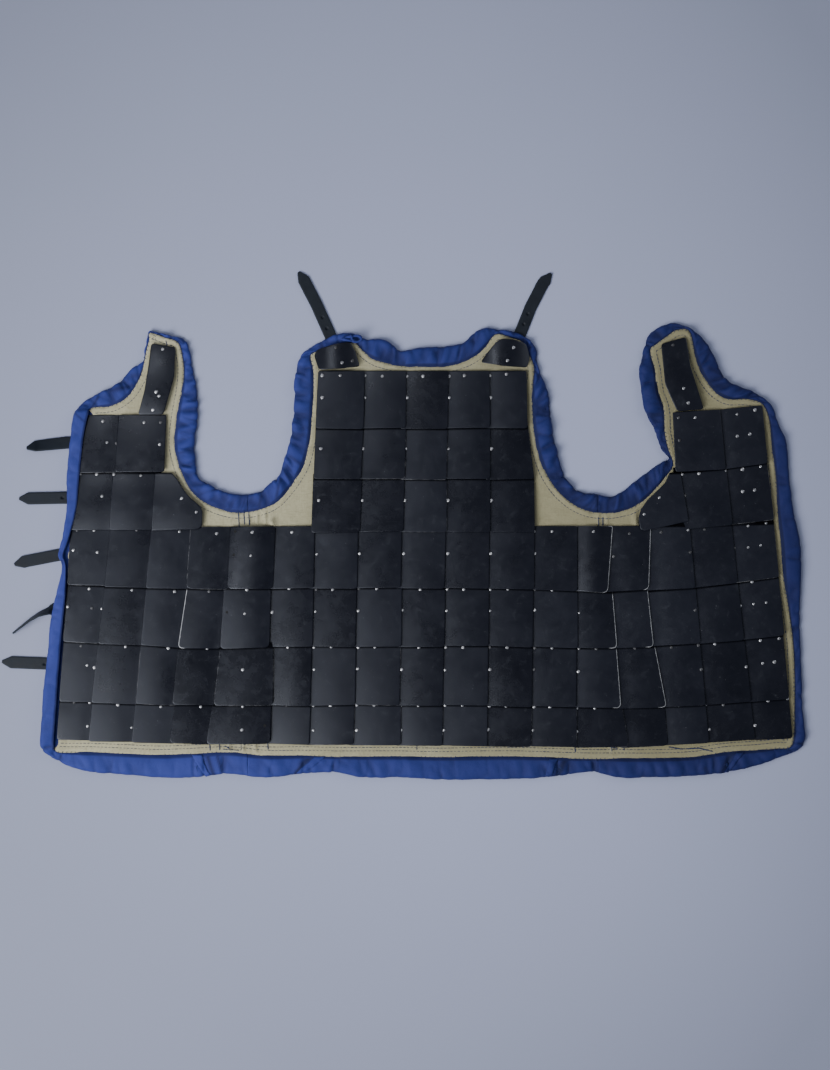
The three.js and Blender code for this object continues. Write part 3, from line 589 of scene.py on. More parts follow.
def plate_material():
    n = Nodes("blackened iron")
    edge, tone = n.attribute("edge"), n.attribute("tone")
    cloud = n.noise(22.0, 5.0, 0.6)
    patch = n.noise(75.0, 5.0, 0.65, distort=0.6)
    scratch = n.noise(520.0, 2.0, 0.6, n.drawn((1.0, 0.06, 1.0), 0.5))
    crossing = n.noise(460.0, 2.0, 0.6, n.drawn((0.05, 1.0, 1.0), -0.9))
    dust = n.maths("MULTIPLY", n.range(n.noise(620.0, 1.0), 0.76, 0.80), n.range(patch, 0.45, 0.7))
    ragged = n.maths("MULTIPLY", n.attribute("worn"), n.range(patch, 0.3, 0.62))
    rubbed = n.range(n.maths("SUBTRACT", edge, n.maths("MULTIPLY", ragged, 2.6)), -1.1, -0.15, 1.0, 0.0)
    band = n.range(n.noise(160.0, 3.0), 0.3, 0.7, 0.6, 1.15)
    bright = n.range(n.maths("SUBTRACT", edge, band), -0.4, 0.2, 1.0, 0.0)
    bright = n.maths("MULTIPLY", n.attribute("bare"), bright)
    # Painted shade: a near-black band just below the foot of each plate that laps the next, where its shadow
    # falls.
    lap = n.range(n.attribute("below"), 0.6, 3.0, 1.0, 0.0)
    painted_lap_shade = n.maths("MULTIPLY", lap, n.range(cloud, 0.3, 0.6, 0.7, 1.0))
    colour = n.coats(
        n.ramp(cloud, [(0.32, (0.0032, 0.0035, 0.0066)), (0.7, (0.0068, 0.0075, 0.0125))]),
        (tone, (0.0, 1.0, 0.0, 0.5), (0.0095, 0.0110, 0.0190)),
        (patch, (0.58, 0.78, 0.0, 0.4), (0.027, 0.030, 0.039)),
        (patch, (0.26, 0.38, 0.4, 0.0), (0.0025, 0.0028, 0.0045)),
        (scratch, (0.72, 0.82, 0.0, 0.14), (0.09, 0.095, 0.11)),
        (crossing, (0.74, 0.82, 0.0, 0.12), (0.08, 0.085, 0.10)),
        (dust, (0.0, 1.0), (0.22, 0.225, 0.24)),
        (n.maths("MAXIMUM", rubbed, bright), (0.0, 1.0), (0.46, 0.465, 0.48)),
        (painted_lap_shade, (0.0, 1.0), (0.0010, 0.0011, 0.0018)),
    )
    rough = n.maths("ADD", n.range(cloud, 0.3, 0.7, 0.27, 0.37), n.range(patch, 0.45, 0.8, 0.0, 0.11))
    rough = n.maths("ADD", rough, n.range(tone, 0.0, 1.0, -0.07, 0.05))
    normal = n.bumps((n.noise(900.0, 3.0, 0.7), 0.05, 0.0003), (n.noise(30.0, 1.0), 0.07, 0.002))
    # The painted shade under a lap also takes away the reflection there.
    shine = n.range(painted_lap_shade, 0.0, 1.0, 0.42, 0.04)
    return n.finish(colour, rough, normal, specular_tint=(0.84, 0.89, 1.0), specular_ior_level=shine)


def metal_material(name, scale, stops, rough, metallic, relief, hammered=True, detail=3.0):
    """Plain mottled metal, with finer hammer marks or its own mottling as relief."""
    n = Nodes(name)
    cloud = n.noise(scale, detail)
    height = n.noise(620.0, 2.0) if hammered else cloud
    rough = n.range(cloud, 0.3, 0.7, *rough)
    return n.finish(n.ramp(cloud, stops), rough, n.bumps((height, *relief)), metallic=metallic)


def leather_material():
    n = Nodes("dark grey leather")
    cells = {"Vector": n.place, "Scale": 900.0, "Randomness": 1.0}
    grain = n.add("ShaderNodeTexVoronoi", cells).outputs["Distance"]
    cloud = n.noise(40.0, 4.0)
    colour = n.coats(
        n.ramp(cloud, [(0.3, (0.0050, 0.0080, 0.0135)), (0.72, (0.0105, 0.0155, 0.0240))]),
        (grain, (0.0, 0.5, 0.35, 0.0), (0.007, 0.009, 0.012)),
        (n.attribute("edge"), (0.0, 1.6, 0.45, 0.0), (0.040, 0.050, 0.062)),
    )
    normal = n.bumps((grain, 0.35, 0.0004), (n.noise(110.0, 3.0), 0.3, 0.0015))
    return n.finish(colour, n.range(cloud, 0.3, 0.7, 0.5, 0.66), normal, specular_ior_level=0.25)


def thread_material(name, colour):
    n = Nodes(name)
    twist = n.noise(1800.0, 2.0)
    shaded = n.coats(colour, (twist, (0.3, 0.8), tuple(part * 0.6 for part in colour)))
    return n.finish(shaded, 0.85, n.bumps((twist, 0.4, 0.0002)))


WOOL = wool_material()
LINEN = canvas_material()
IRON = plate_material()
TAILS = metal_material(
    "bright rivet tails", 300.0, [(0.32, (0.20, 0.20, 0.21)), (0.6, (0.62, 0.62, 0.64))],
    (0.5, 0.28), 0.9, (0.5, 0.0006),
)
DULL_TAILS = metal_material(
    "dull rivet tails", 340.0, [(0.35, (0.045, 0.046, 0.05)), (0.65, (0.16, 0.16, 0.17))],
    (0.5, 0.5), 0.7, (0.5, 0.0006),
)
HEADS = metal_material(
    "outer rivet heads", 160.0, [(0.35, (0.28, 0.28, 0.29)), (0.65, (0.52, 0.52, 0.53))],
    (0.34, 0.34), 0.95, (0.2, 0.0005), hammered=False,
)
BUCKLES = metal_material(
    "plain iron buckle", 120.0, [(0.3, (0.022, 0.022, 0.024)), (0.72, (0.05, 0.05, 0.052))],
    (0.5, 0.5), 0.7, (0.3, 0.0006), hammered=False, detail=4.0,
)
LEATHER = leather_material()
NAVY_THREAD = thread_material("navy thread", (0.020, 0.036, 0.115))
BLUE_THREAD = thread_material("blue wool thread", (0.020, 0.045, 0.20))
# Painted shade: a near-black disc stands for the shade inside an empty rivet hole.
HOLE_SHADE = thread_material("dark inside of a hole", (0.003, 0.003, 0.004))


# The edge, round the garment


def edge_stations():
    """Places all round: outer edge, inner edge, gather, and whether the fold lies over the plates."""
    rows = np.array([
        (*row, GATHER[name], float(name == "left_front")) for name, table in EDGES.items() for row in table
    ])
    out = []
    for i, b in enumerate(rows):
        a, c, d = rows[i - 1], rows[(i + 1) % len(rows)], rows[(i + 2) % len(rows)]
        count = max(2, round(np.linalg.norm(c[:2] - b[:2]) / STATION_STEP))
        for k in range(count):
            t = k / count
            curve = 2 * b + (c - a) * t + (2 * a - 5 * b + 4 * c - d) * t**2 + (3 * b - a - 3 * c + d) * t**3
            out.append((*(0.5 * curve[:4]), *mix(b[4:], c[4:], t)))
    return np.array(out)


STATIONS = edge_stations()[::-1]
ALONG = lengths_along(STATIONS[:, :2])


def make_creases():
    """Every crease across the turned edge: place along it, depth, its two widths, lean, root, reach."""
    chance = random.Random(4)
    creases = []
    s = 4.0
    while s < ALONG[-1]:
        gather = STATIONS[int(np.searchsorted(ALONG, s)), 4]
        widths = chance.uniform(1.0, 1.8), chance.uniform(5.0, 10.0)
        if chance.random() < 0.5:
            widths = widths[::-1]
        deep = chance.uniform(0.2, 1.0) * (0.8 + 3.8 * gather)
        lean, root = chance.uniform(-9, 9), chance.choice((0.0, 0.0, 1.0))
        creases.append((s, deep, *widths, lean, root, chance.uniform(0.5, 1.3)))
        s += chance.uniform(0.45, 1.3) * mix(44.0, 13.0, min(1.0, gather))
    for x, y, deep, wide in FOLDS:
        near = int(np.argmin((STATIONS[:, 0] - x) ** 2 + (STATIONS[:, 1] - y) ** 2))
        creases.append((ALONG[near], deep * 1.5, wide * 0.3, wide, chance.uniform(-4, 4), 0.0, 1.6))
    return np.array(creases)


CREASES = make_creases()


def crease_depth(i, at):
    """How far the creases press into the turned edge at a station, part of the way across it."""
    place, deep, before, after, lean, root, reach = CREASES.T
    gap = ALONG[i] + lean * (at - 0.5) - place
    total = ALONG[-1]
    gap = np.where(gap > total / 2, gap - total, np.where(gap < -total / 2, gap + total, gap))
    away = np.abs(gap) / np.where(gap < 0, before, after)
    fade = np.clip(1.25 - np.abs(at - root) / reach, 0, 1)
    return float((deep * fade * np.exp(-away * 1.5))[away < 6].sum())


def ripple(i, across, gather):
    """Puckers with sharp valleys between them, and broad waves, across the turned edge."""
    s = ALONG[i] + across * (7.0 + 9.0 * noise.noise(Vector((ALONG[i] * 0.012, 0.0, 5.0))))
    pucker = abs(noise.noise(Vector((s * 0.055, across * 0.7, 3.7)))) - 0.22
    fine = abs(noise.noise(Vector((s * 0.13, across * 1.1, 7.7)))) - 0.22
    broad = noise.noise(Vector((s * 0.028, across * 0.6, 9.1)))
    return pucker * (1.0 + 11.0 * gather) + fine * (0.3 + 1.2 * gather) + broad * (1.2 + 1.2 * gather)


def cloth_ring(rule):
    """A ring of points round the cloth. Its rule says how far in, how high and how far aside."""
    ring = []
    for i, (ox, oy, ix, iy, gather, over) in enumerate(STATIONS):
        reach = math.hypot(ix - ox, iy - oy)
        wx, wy = (ix - ox) / reach, (iy - oy) / reach
        by, z, sway = rule(i, reach, gather, over)
        ring.append((ox + wx * by - wy * sway, oy + wy * by + wx * sway, z))
    return ring


def fold_heights(reach, over):
    """Height of the fold's top, and of the turning's underside where it ends."""
    crest = mix(CLOTH_Z + min(8.4, max(4.4, reach * 0.32)), OVER_Z + CLOTH + 0.6, over)
    return crest, mix(CANVAS_Z, OVER_Z - 1.2, over)


# Across the turned edge: share of its width, and how far up the fold
FOLD_SHAPE = [
    (0.000, 0.38), (0.020, 0.56), (0.060, 0.75), (0.12, 0.88), (0.20, 0.96), (0.30, 1.0), (0.41, 1.0),
    (0.52, 0.98), (0.63, 0.94), (0.74, 0.87), (0.84, 0.76), (0.92, 0.62), (0.975, 0.50),
]


def base_ring(share, rise, push):
    """A ring under the fold: a share of its width in, and pressed in with the creases."""

    def rule(i, reach, gather, over):
        pressed = crease_depth(i, 0.0) * 0.35 - ripple(i, 0.0, gather) * 0.22
        return reach * share + pressed * push, CLOTH_Z + rise, 0

    return cloth_ring(rule)


def fold_ring(at, rise):
    """A ring over the fold, which never dips through the fold's own underside."""

    def rule(i, reach, gather, over):
        crest, face = fold_heights(reach, over)
        foot = CLOTH_Z - 1.2 if at < 0.35 else face + CLOTH * 0.4
        pressed = crease_depth(i, at)
        wave = ripple(i, at, gather)
        weight = math.sin(math.pi * min(1.0, 0.16 + at * 0.8))
        z = mix(foot, crest, rise) + wave * weight - pressed * weight
        z = max(z, face + CLOTH * 0.6 if at > 0.45 else CLOTH_Z + 0.2 + at * 6)
        inner = crest - CLOTH - FOLD_ROOM
        under = mix(CLOTH_Z, inner, at / 0.5) if at < 0.5 else mix(inner, face, min(1.0, (at - 0.5) / 0.3))
        push = (pressed * 0.35 - wave * 0.22) * (1 - at) ** 1.5
        sway = 0.7 * math.sin(ALONG[i] * 0.21 + at * 4) * gather * weight
        return at * reach * 0.985 + push, max(z, under + 0.5), sway

    return cloth_ring(rule)


def inner_ring(place):
    """A ring of the turning's end and inside, from its width, end, fold's top and lining's face."""

    def rule(i, reach, gather, over):
        end = reach + (1 - smooth(0.0, 0.3, over)) * 3.0
        return (*place(reach, end, *fold_heights(reach, over)), 0)

    return cloth_ring(rule)


def make_cloth():
    """The whole cloth: from under the fold, over it, down its end, back inside it, and both faces."""
    base = [base_ring(0.45, 0.0, 0.0), base_ring(0.2, -1.3, 0.6), base_ring(0.05, -0.9, 1.0)]
    fold = [fold_ring(at, rise) for at, rise in FOLD_SHAPE]
    inner = [
        inner_ring(lambda reach, end, crest, face: (end, face + CLOTH)),
        inner_ring(lambda reach, end, crest, face: (end, face)),
        inner_ring(lambda reach, end, crest, face: (reach * 0.8, face)),
        inner_ring(lambda reach, end, crest, face: (reach * 0.5, crest - CLOTH - FOLD_ROOM)),
        inner_ring(lambda reach, end, crest, face: (min(3.5, reach * 0.35), CLOTH_Z + CLOTH)),
        inner_ring(lambda reach, end, crest, face: (reach * 0.45, CLOTH_Z + CLOTH)),
    ]
    rings = base + fold + inner
    n = len(STATIONS)
    points = [p for ring in rings for p in ring]
    faces = loft(len(rings), n)
    last = (len(rings) - 1) * n
    for tri in fill([Vector((x, y)) for x, y, _ in rings[0]])[1]:
        if max(tri) < n:
            faces += [tuple(reversed(tri)), tuple(last + k for k in tri)]
    whole = make_object("cloth_whole", points, faces, WOOL)
    # The tuck mark holds the painted shade of the creases, valleys and the turning's end.
    mark(whole, "tuck", shadows(points, len(base) * n, n))
    outward(whole)
    return whole


def shadows(points, start, n):
    """How much painted shade darkens each point of the cloth: deep in a crease, in a valley, or where the
    turning ends.
    """
    visible = FOLD_SHAPE[:-2]
    end = start + len(visible) * n
    tuck = [0.78 if end <= k < end + 3 * n else 0.0 for k in range(len(points))]
    for r, (at, _) in enumerate(visible):
        for i in range(n):
            deep = 0.19 * crease_depth(i, at) - 0.15 * ripple(i, at, STATIONS[i, 4])
            tuck[start + r * n + i] = min(0.72, max(0.0, deep))
    for (ax, ay), (bx, by), wide, dark in VALLEYS:
        dx, dy = bx - ax, by - ay
        for k in range(start, end):
            x, y = points[k][0] - ax, points[k][1] - ay
            t = clamp((x * dx + y * dy) / (dx * dx + dy * dy))
            away = math.hypot(x - t * dx, y - t * dy) / wide
            if away < 3:
                tuck[k] = max(tuck[k], dark * math.exp(-away * away))
    return tuck


def cut_panels(whole):
    """The three panels, cut apart at the side seams and closed there."""
    cuts = (-700, *SEAMS, 700)
    panels = []
    for name, low, high in zip(("left_front", "back", "right_front"), cuts, cuts[1:]):
        work = bmesh.new()
        work.from_mesh(whole.data)
        for x, way in ((low + SEAM_GAP, -1), (high - SEAM_GAP, 1)):
            geom = work.verts[:] + work.edges[:] + work.faces[:]
            done = bmesh.ops.bisect_plane(
                work, geom=geom, dist=1e-6, plane_co=(x * MM, 0, 0), plane_no=(way, 0, 0), clear_outer=True
            )
            edges = [e for e in done["geom_cut"] if isinstance(e, bmesh.types.BMEdge)]
            if edges:
                bmesh.ops.holes_fill(work, edges=edges, sides=0)
        bmesh.ops.recalc_face_normals(work, faces=work.faces)
        mesh = bpy.data.meshes.new(f"wool_{name}")
        work.to_mesh(mesh)
        work.free()
        panels.append(place_mesh(f"wool_{name}", mesh, WOOL))
    bpy.data.objects.remove(whole)
    return panels


# The canvas


def canvas_edge():
    """The lining's edge: the turning's inner edge, further in under the left front's fold."""
    edge = []
    for ox, oy, ix, iy, _, over in STATIONS:
        reach = math.hypot(ix - ox, iy - oy)
        by = mix(0.0, 6.0, smooth(0.5, 1.0, over))
        edge.append((ix + (ix - ox) / reach * by, iy + (iy - oy) / reach * by))
    return edge


# Where the lining stands up in a soft ridge: middle, height, and how far it spreads each way
RIDGES = [
    (-190, 2, 7.0, 5.0, 9), (-200, 8, 4.0, 3.0, 13), (-212, 8, 2.4, 2.6, 12), (-224, 10, 1.4, 2.2, 14),
    (284, 8, 2.4, 2.4, 14), (296, 8, 2.0, 2.4, 13), (337, 6, 5.0, 4, 12), (-60, 232, 1.0, 12, 4),
    (430, 178, 1.0, 14, 4), (-232, -322, 2.2, 2.4, 8), (-252, -322, 2.0, 2.0, 8), (-214, -323, 2.4, 3.0, 8),
    (304, -323, 2.0, 2.4, 8), (-400, 168, 1.0, 12, 4), (-340, 262, 1.4, 3, 10), (360, 210, 1.0, 3, 16),
    (-352, 212, 2.6, 16, 30), (405, 218, 2.6, 16, 30),
]
SHARP = [ridge for ridge in RIDGES if ridge[3] <= 5]
# Grids of points in the lining, coarse and by the sharp ridges: step, counts each way, room at the edge
CANVAS_GRIDS = ((4.5, (-124, 127), (-76, 64), 2.6), (1.5, (-400, 400), (-240, 200), 1.6))


def make_canvas():
    edge = canvas_edge()
    away_from_edge = distance_to(edge)
    inside = []
    for fine, (step, columns, rows, room) in enumerate(CANVAS_GRIDS):
        wider, longer = (0, -1) if fine else (1, 0)
        for gx in range(*columns):
            for gy in range(*rows):
                x, y = gx * step, gy * step
                near = any(
                    abs(x - rx) < 2.4 * wide + wider and abs(y - ry) < 1.6 * long + longer
                    for rx, ry, _, wide, long in SHARP
                )
                if near == bool(fine) and away_from_edge(x, y) > room:
                    inside.append(Vector((x, y)))
    verts, tris = fill([Vector(p) for p in edge], inside)

    def height(x, y):
        away = away_from_edge(x, y)
        z = mix(RIM_Z, CANVAS_Z, smooth(3.5, 8.0, away))
        z += 0.35 * noise.noise(Vector((x * 0.03, y * 0.03, 1.0))) * smooth(2, 10, away)
        for rx, ry, tall, wide, long in RIDGES:
            swell = tall * math.exp(-(((x - rx) / wide) ** 2) - ((y - ry) / long) ** 2) * smooth(0, 6, away)
            z += swell * (smooth(-3.5, 3.0, y) if y > -50 else 1.0)
        return z

    low = [(v.x, v.y, height(v.x, v.y)) for v in verts]
    high = [(x, y, z + CANVAS) for x, y, z in low]
    count = len(low)
    faces = []
    for tri in tris:
        faces += [tuple(count + k for k in tri), tuple(reversed(tri))]
    sides = dict.fromkeys(pair for tri in tris for pair in zip(tri, tri[1:] + tri[:1]))
    faces += [(a, b, count + b, count + a) for a, b in sides if (b, a) not in sides]
    return make_object("linen_lining", low + high, faces, LINEN)


# Plates

CHANCE = random.Random(11)


def row_line(row, x):
    return float(np.interp(x, ROW_KNOTS, ROW_LINES[row]))


def crossing_point(column, row):
    """Where a column line of the skirt crosses a row line."""
    top, foot = COLUMNS[column]
    middles = [line[3] for line in ROW_LINES]
    x = mix(top, foot, (middles[0] - row_line(row, top)) / (middles[0] - middles[-1]))
    return (x, row_line(row, x))


def rounded(outline, radii):
    """The outline with each corner rounded to its own radius, and points about 5 mm apart."""
    n = len(outline)
    out = []
    for i in range(n):
        p = Vector(outline[i])
        va, vb = Vector(outline[i - 1]) - p, Vector(outline[(i + 1) % n]) - p
        r = min(radii[i], va.length * 0.45, vb.length * 0.45)
        start, end = p + va.normalized() * r, p + vb.normalized() * r
        steps = 5 if r > 2.5 else 3
        for k in range(steps + 1):
            t = k / steps
            out.append(start * (1 - t) ** 2 + p * 2 * t * (1 - t) + end * t**2)
    dense = []
    for p, q in zip(out, out[1:] + out[:1]):
        dense.append(p)
        gap = (q - p).length
        dense += [p.lerp(q, s / gap) for s in np.arange(5.0, gap - 1.0, 5.0)]
    return dense


def plate_mesh(outline, radii, height, bright=None):
    """Points, faces, edge distances and bare edges of a plate whose underside height is a rule."""
    ring = rounded(outline, radii)
    n = len(ring)
    if sum(p.x * q.y - q.x * p.y for p, q in zip(ring, ring[1:] + ring[:1])) < 0:
        ring.reverse()

    def inset(by):
        ways = [(ring[(i + 1) % n] - ring[i - 1]).normalized() for i in range(n)]
        return [p + Vector((-way.y, way.x)) * by for p, way in zip(ring, ways)]

    away_from_edge = distance_to(ring)
    columns, rows = (
        range(int(min(side) / PLATE_STEP) - 1, int(max(side) / PLATE_STEP) + 2) for side in zip(*ring)
    )
    grid = [Vector((gx * PLATE_STEP + 0.3, gy * PLATE_STEP + 0.2)) for gx in columns for gy in rows]
    verts, tris = fill(inset(PLATE_FACE), [p for p in grid if away_from_edge(*p) > 3.6])
    points, edge = [], []
    for by, lower in PLATE_EDGE:
        points += [(x, y, height(x, y) + PLATE - lower) for x, y in inset(by)]
        edge += [by] * n
    faces = loft(len(PLATE_EDGE) + 1, n)
    faces += [tuple(len(points) + k for k in tri) for tri in tris]
    points += [(x, y, height(x, y) + PLATE) for x, y in verts]
    edge += [away_from_edge(x, y) for x, y in verts]
    faces += [tuple(reversed(tri)) for tri in fill(ring)[1] if max(tri) < n]
    bare = [0.0] * len(points)
    if bright:
        start, end = Vector(outline[bright[0]]), Vector(outline[bright[1]])
        along = end - start
        for k, (x, y, _) in enumerate(points):
            gap = Vector((x, y)) - start
            t = max(0.06, min(1.0, gap.dot(along) / along.length_squared))
            bare[k] = float((gap - along * t).length < 8.0)
    return points, faces, edge, bare


def plates_object(node, plates):
    """The finished piece for a node, from its plates: mesh, wear, tone and depth under the lap, which sets
    the painted shade there.
    """
    points, faces = [], []
    marks = {"edge": [], "bare": [], "worn": [], "tone": [], "below": []}
    for (places, joined, edge, bare), worn, tone, below in plates:
        faces += [tuple(len(points) + k for k in face) for face in joined]
        points += places
        marks["edge"] += edge
        marks["bare"] += bare
        marks["worn"] += [worn] * len(places)
        marks["tone"] += [tone] * len(places)
        marks["below"] += [below(x, y) for x, y, _ in places]
    obj = make_object(f"iron_{node}", points, faces, IRON)
    for key, values in marks.items():
        mark(obj, key, values)
    obj.data.set_sharp_from_angle(angle=math.radians(50))
    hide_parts(node)
    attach(obj, "root")


def patch_height(corners, hidden, sides, arch, more, bend):
    """Height rule of a plate between four corners: tilted, lapped and slightly arched."""
    top_left, top_right, foot_left, foot_right = corners
    up, left, right = hidden
    twist = CHANCE.uniform(-0.8, 0.8)
    rise = ROW_RISE + CHANCE.uniform(-0.35, 0.35) + more
    west = mix(top_left.x, foot_left.x, 0.5)
    east = mix(top_right.x, foot_right.x, 0.5)

    def rule(x, y):
        down = (mix(top_left.y, top_right.y, 0.5) - y) / (top_left.y - foot_left.y)
        across = (x - mix(top_left.x, foot_left.x, down)) / (east - west)
        north = mix(top_left.y, top_right.y, clamp(across))
        south = mix(foot_left.y, foot_right.y, clamp(across))
        down = (north - y) / (north - south)
        side = mix(*sides, clamp((across + left) / (1 + left + right)))
        bow = 4 * arch * clamp(across) * (1 - clamp(across))
        bow += 4 * bend * clamp(down) * (1 - clamp(down))
        return PLATE_Z + side + rise * (down + up) / (1 + up) + bow + twist * (across - 0.5) * down

    return rule


# How far each plate's foot hangs below its line, left and right, once it is made
FEET = {}


def grid_plate(
    corners, top, left, right, sides, bend, arch=ARCH, lift=0.0, radius=5.0, tuck=TUCK, over=(0.0, 0.0),
    tone=None, bright=None, outline=None, square_top=False, place=None,
):
    """A plate between four corners, carried on at its top, left or right under its neighbours."""
    corners = [Vector(c) for c in corners]
    top_left, top_right, foot_left, foot_right = corners
    width = (top_right - top_left).length
    tall = (top_left - foot_left).length
    up = TUCK / tall if top else 0.0
    left = tuck / width if left else 0.0
    right = TUCK / width if right else 0.0
    jog = [CHANCE.uniform(-1.2, 1.2) for _ in range(4)]
    across = (top_right - top_left) / width
    down = (foot_left - top_left) / tall
    square = [
        top_left - across * (left * width + jog[0] * 0.5) - down * up * tall,
        top_right + across * (right * width + jog[1] * 0.5) - down * up * tall,
        foot_right + across * (right * width + jog[1]) + down * jog[2],
        foot_left - across * (left * width + jog[0]) + down * jog[3],
    ]
    if square_top:
        square[0].x = top_left.x - 1
    top_radius = 1.5 if top else 3.0
    radii = [2.0] * len(outline) if outline else [top_radius, top_radius, radius, radius]
    rule = patch_height(corners, (up, left, right), sides, arch, lift, bend)

    def below(x, y):
        """How far a place is below the foot of the plate that laps this one."""
        if not top:
            return 99.0
        t = min(1.2, max(-0.2, (x - top_left.x) / (top_right.x - top_left.x)))
        return mix(top_left.y - over[0], top_right.y - over[1], t) - y

    made = plate_mesh(outline or square, radii, rule, bright)
    FEET[place] = (jog[3], jog[2])
    worn, usual = CHANCE.choice((0.05, 0.08, 0.15, 0.3)), CHANCE.random()
    return made, worn, usual if tone is None else tone, below


# Skirt plates, by row and column, whose lapping edge lies off its column line: where, above and below
LAPS = {
    (0, 3): (-308, -314), (0, 4): (-251, -256), (1, 3): (-313, -325), (1, 4): (-260, -265),
    (2, 3): (-326, -334), (2, 4): (-265, -274), (3, 3): (-331, -339), (3, 4): (-277, -285),
    (0, 12): (304, 296), (1, 12): (303, 310), (2, 12): (309, 316), (3, 12): (317, 328),
    (0, 13): (360, 357), (1, 13): (355, 364), (2, 13): (364, 381),
}
RIGHT_LAPS = {(0, 4): (-185, -188), (1, 4): (-192, -194), (2, 4): (-189, -188), (3, 4): (-192, -193)}
# Skirt plates with a bare edge, as two corners of their outline, or an arch, tone or lift of their own
BRIGHT = {(1, 3): (0, 3)} | dict.fromkeys(((0, 12), (0, 13), (1, 12), (1, 13), (2, 12), (2, 13)), (1, 2))
ARCHES = {(0, 4): 6.5, (1, 4): 3.0, (3, 4): 2.6, (0, 12): 4.2, (2, 3): 0.8, (3, 3): 1.0}
# The lowest tones, at (2, 3), (2, 4), (3, 3) and (3, 4), are painted shade for plates that tilt away from
# the light.
TONES = {(2, 3): 0.0, (2, 4): 0.0, (3, 3): 0.0, (3, 4): 0.0, (0, 4): 0.25, (0, 12): 0.3, (3, 12): 0.1}
LIFTS = {
    (2, 3): 1.8, (2, 4): 2.2, (3, 3): 1.6, (3, 4): 2.4, (0, 4): -2.0, (2, 1): -0.6, (3, 1): -0.8,
    (3, 5): -0.5,
}


def skirt_joins(row, c):
    """How a plate of the skirt meets its neighbours. Those left of column 4 lap the other way."""
    before = c < 4
    low_left = 2.2 if c == 4 else SIDE_RISE if before and c > 0 else 0.0
    return {
        "top": row > 0 or c < 3 or 5 < c < 11 or c > 13,
        "left": c > 4,
        "right": before,
        "sides": (low_left, 0.0 if before else SIDE_RISE),
        "arch": ARCHES.get((row, c), ARCH * CHANCE.uniform(0.6, 1.3)),
        "bend": 0.4,
        "radius": 8.0 if c in (3, 4, 12, 13) else 5.0,
        "tuck": 18.0 if c in (13, 14) else TUCK,
        "square_top": (row, c) == (0, 6),
        "bright": BRIGHT.get((row, c)),
        "lift": LIFTS.get((row, c), 0.0),
        "place": ("skirt", row, c),
        "over": FEET.get(("skirt", row - 1, c), FEET.get(("back", 2, c - 6), (0.0, 0.0))),
        "tone": TONES.get((row, c)),
    }


def make_skirt():
    for row, letter in enumerate("abcd"):
        for panel, first, last in PANELS:
            plates = []
            for c in range(first, last + 1):
                corners = [crossing_point(c + k % 2, row + k // 2) for k in range(4)]
                for laps, shift in ((LAPS, int(c > 4)), (RIGHT_LAPS, 1)):
                    if (row, c) in laps:
                        for k, x in zip((shift, shift + 2), laps[(row, c)]):
                            corners[k] = (x, corners[k][1])
                plates.append(grid_plate(corners, **skirt_joins(row, c)))
            plates_object(f"skirt_{panel}_row_{letter}", plates)


def make_back():
    for row in range(3):
        (y0, upper), (y1, lower) = BACK_LINES[row], BACK_LINES[row + 1]
        for c in range(5):
            corners = [(upper[c], y0), (upper[c + 1], y0), (lower[c], y1), (lower[c + 1], y1)]
            plate = grid_plate(
                corners,
                top=row > 0,
                left=c > 0,
                right=False,
                sides=(0.0 if c else SIDE_RISE, SIDE_RISE),
                bend=1.5 if row == 0 and c in (0, 3, 4) else 0.5,
                place=("back", row, c),
                over=FEET.get(("back", row - 1, c), (0.0, 0.0)),
            )
            plates_object(f"back_row_{row + 1}_plate_{c + 1}", [plate])


def make_fronts():
    for name, row in FRONT_ROWS.items():
        last = len(row["top"]) - 2
        left = row["over"] == "left"
        for i in range(last + 1):
            corners = row["top"][i:i + 2] + row["foot"][i:i + 2]
            plate = grid_plate(
                corners,
                top="armhole" in row,
                left=left and i > 0,
                right=not left and i < last,
                sides=(SIDE_RISE if left == (i == 0) else 0.0, SIDE_RISE if left or i == last else 0.0),
                bend=row["bend"],
                outline=row.get("armhole") if i == (0 if left else last) else None,
            )
            plates_object(f"{name}_{i + 1}", [plate])


def make_shoulders():
    start = RIM_Z + CANVAS + 0.3
    for name, outline in SHOULDERS.items():
        (west, east), (south, north) = ((min(side), max(side)) for side in zip(*outline))
        bow, bend, rise = (7.5, 0.0, 4.5) if "back" in name else (1.6, 4.5, 3.6)

        def height(x, y):
            across = (x - west) / (east - west)
            down = (north - y) / (north - south)
            return start + rise * down + bow * 4 * across * (1 - across) + bend * 4 * down * (1 - down)

        made = plate_mesh(outline, [5.0] * len(outline), height)
        plates_object(name, [(made, 0.15, 0.3, lambda x, y: 99.0)])


# Rivets


def surface_tree(objects):
    points, faces = [], []
    for obj in objects:
        base = len(points)
        points += [v.co.copy() for v in obj.data.vertices]
        faces += [tuple(base + k for k in p.vertices) for p in obj.data.polygons]
    return BVHTree.FromPolygons(points, faces)


# Where a tail's height is read, beside and below it, off the next lap: left of a place, and right
LEFT_OF = -290
READ_LEFT = -2.0
READ_RIGHT = 1.5
READ_BELOW = 4.0
# Turned shapes: rings of radius and height, and how uneven they are. The first is a peened tail, a
# low dome hammered flat in the middle. The last is the sunk mouth of an empty hole, made near black as
# painted shade.
TURNED = {
    "tail": ([(2.25, -0.6), (2.4, 0.1), (2.2, 0.6), (1.6, 1.0), (0.8, 1.05)], 0.07),
    "dull": ([(2.2, -0.6), (2.3, 0.0), (2.0, 0.45), (1.2, 0.7)], 0.06),
    "head": ([(3.6, -0.3), (3.7, 0.2), (3.1, 0.9), (1.9, 1.35), (0.8, 1.5)], 0.0),
    "hole": ([(1.9, -0.3), (2.0, 0.05), (1.7, 0.16), (1.45, 0.02)], 0.0),
}


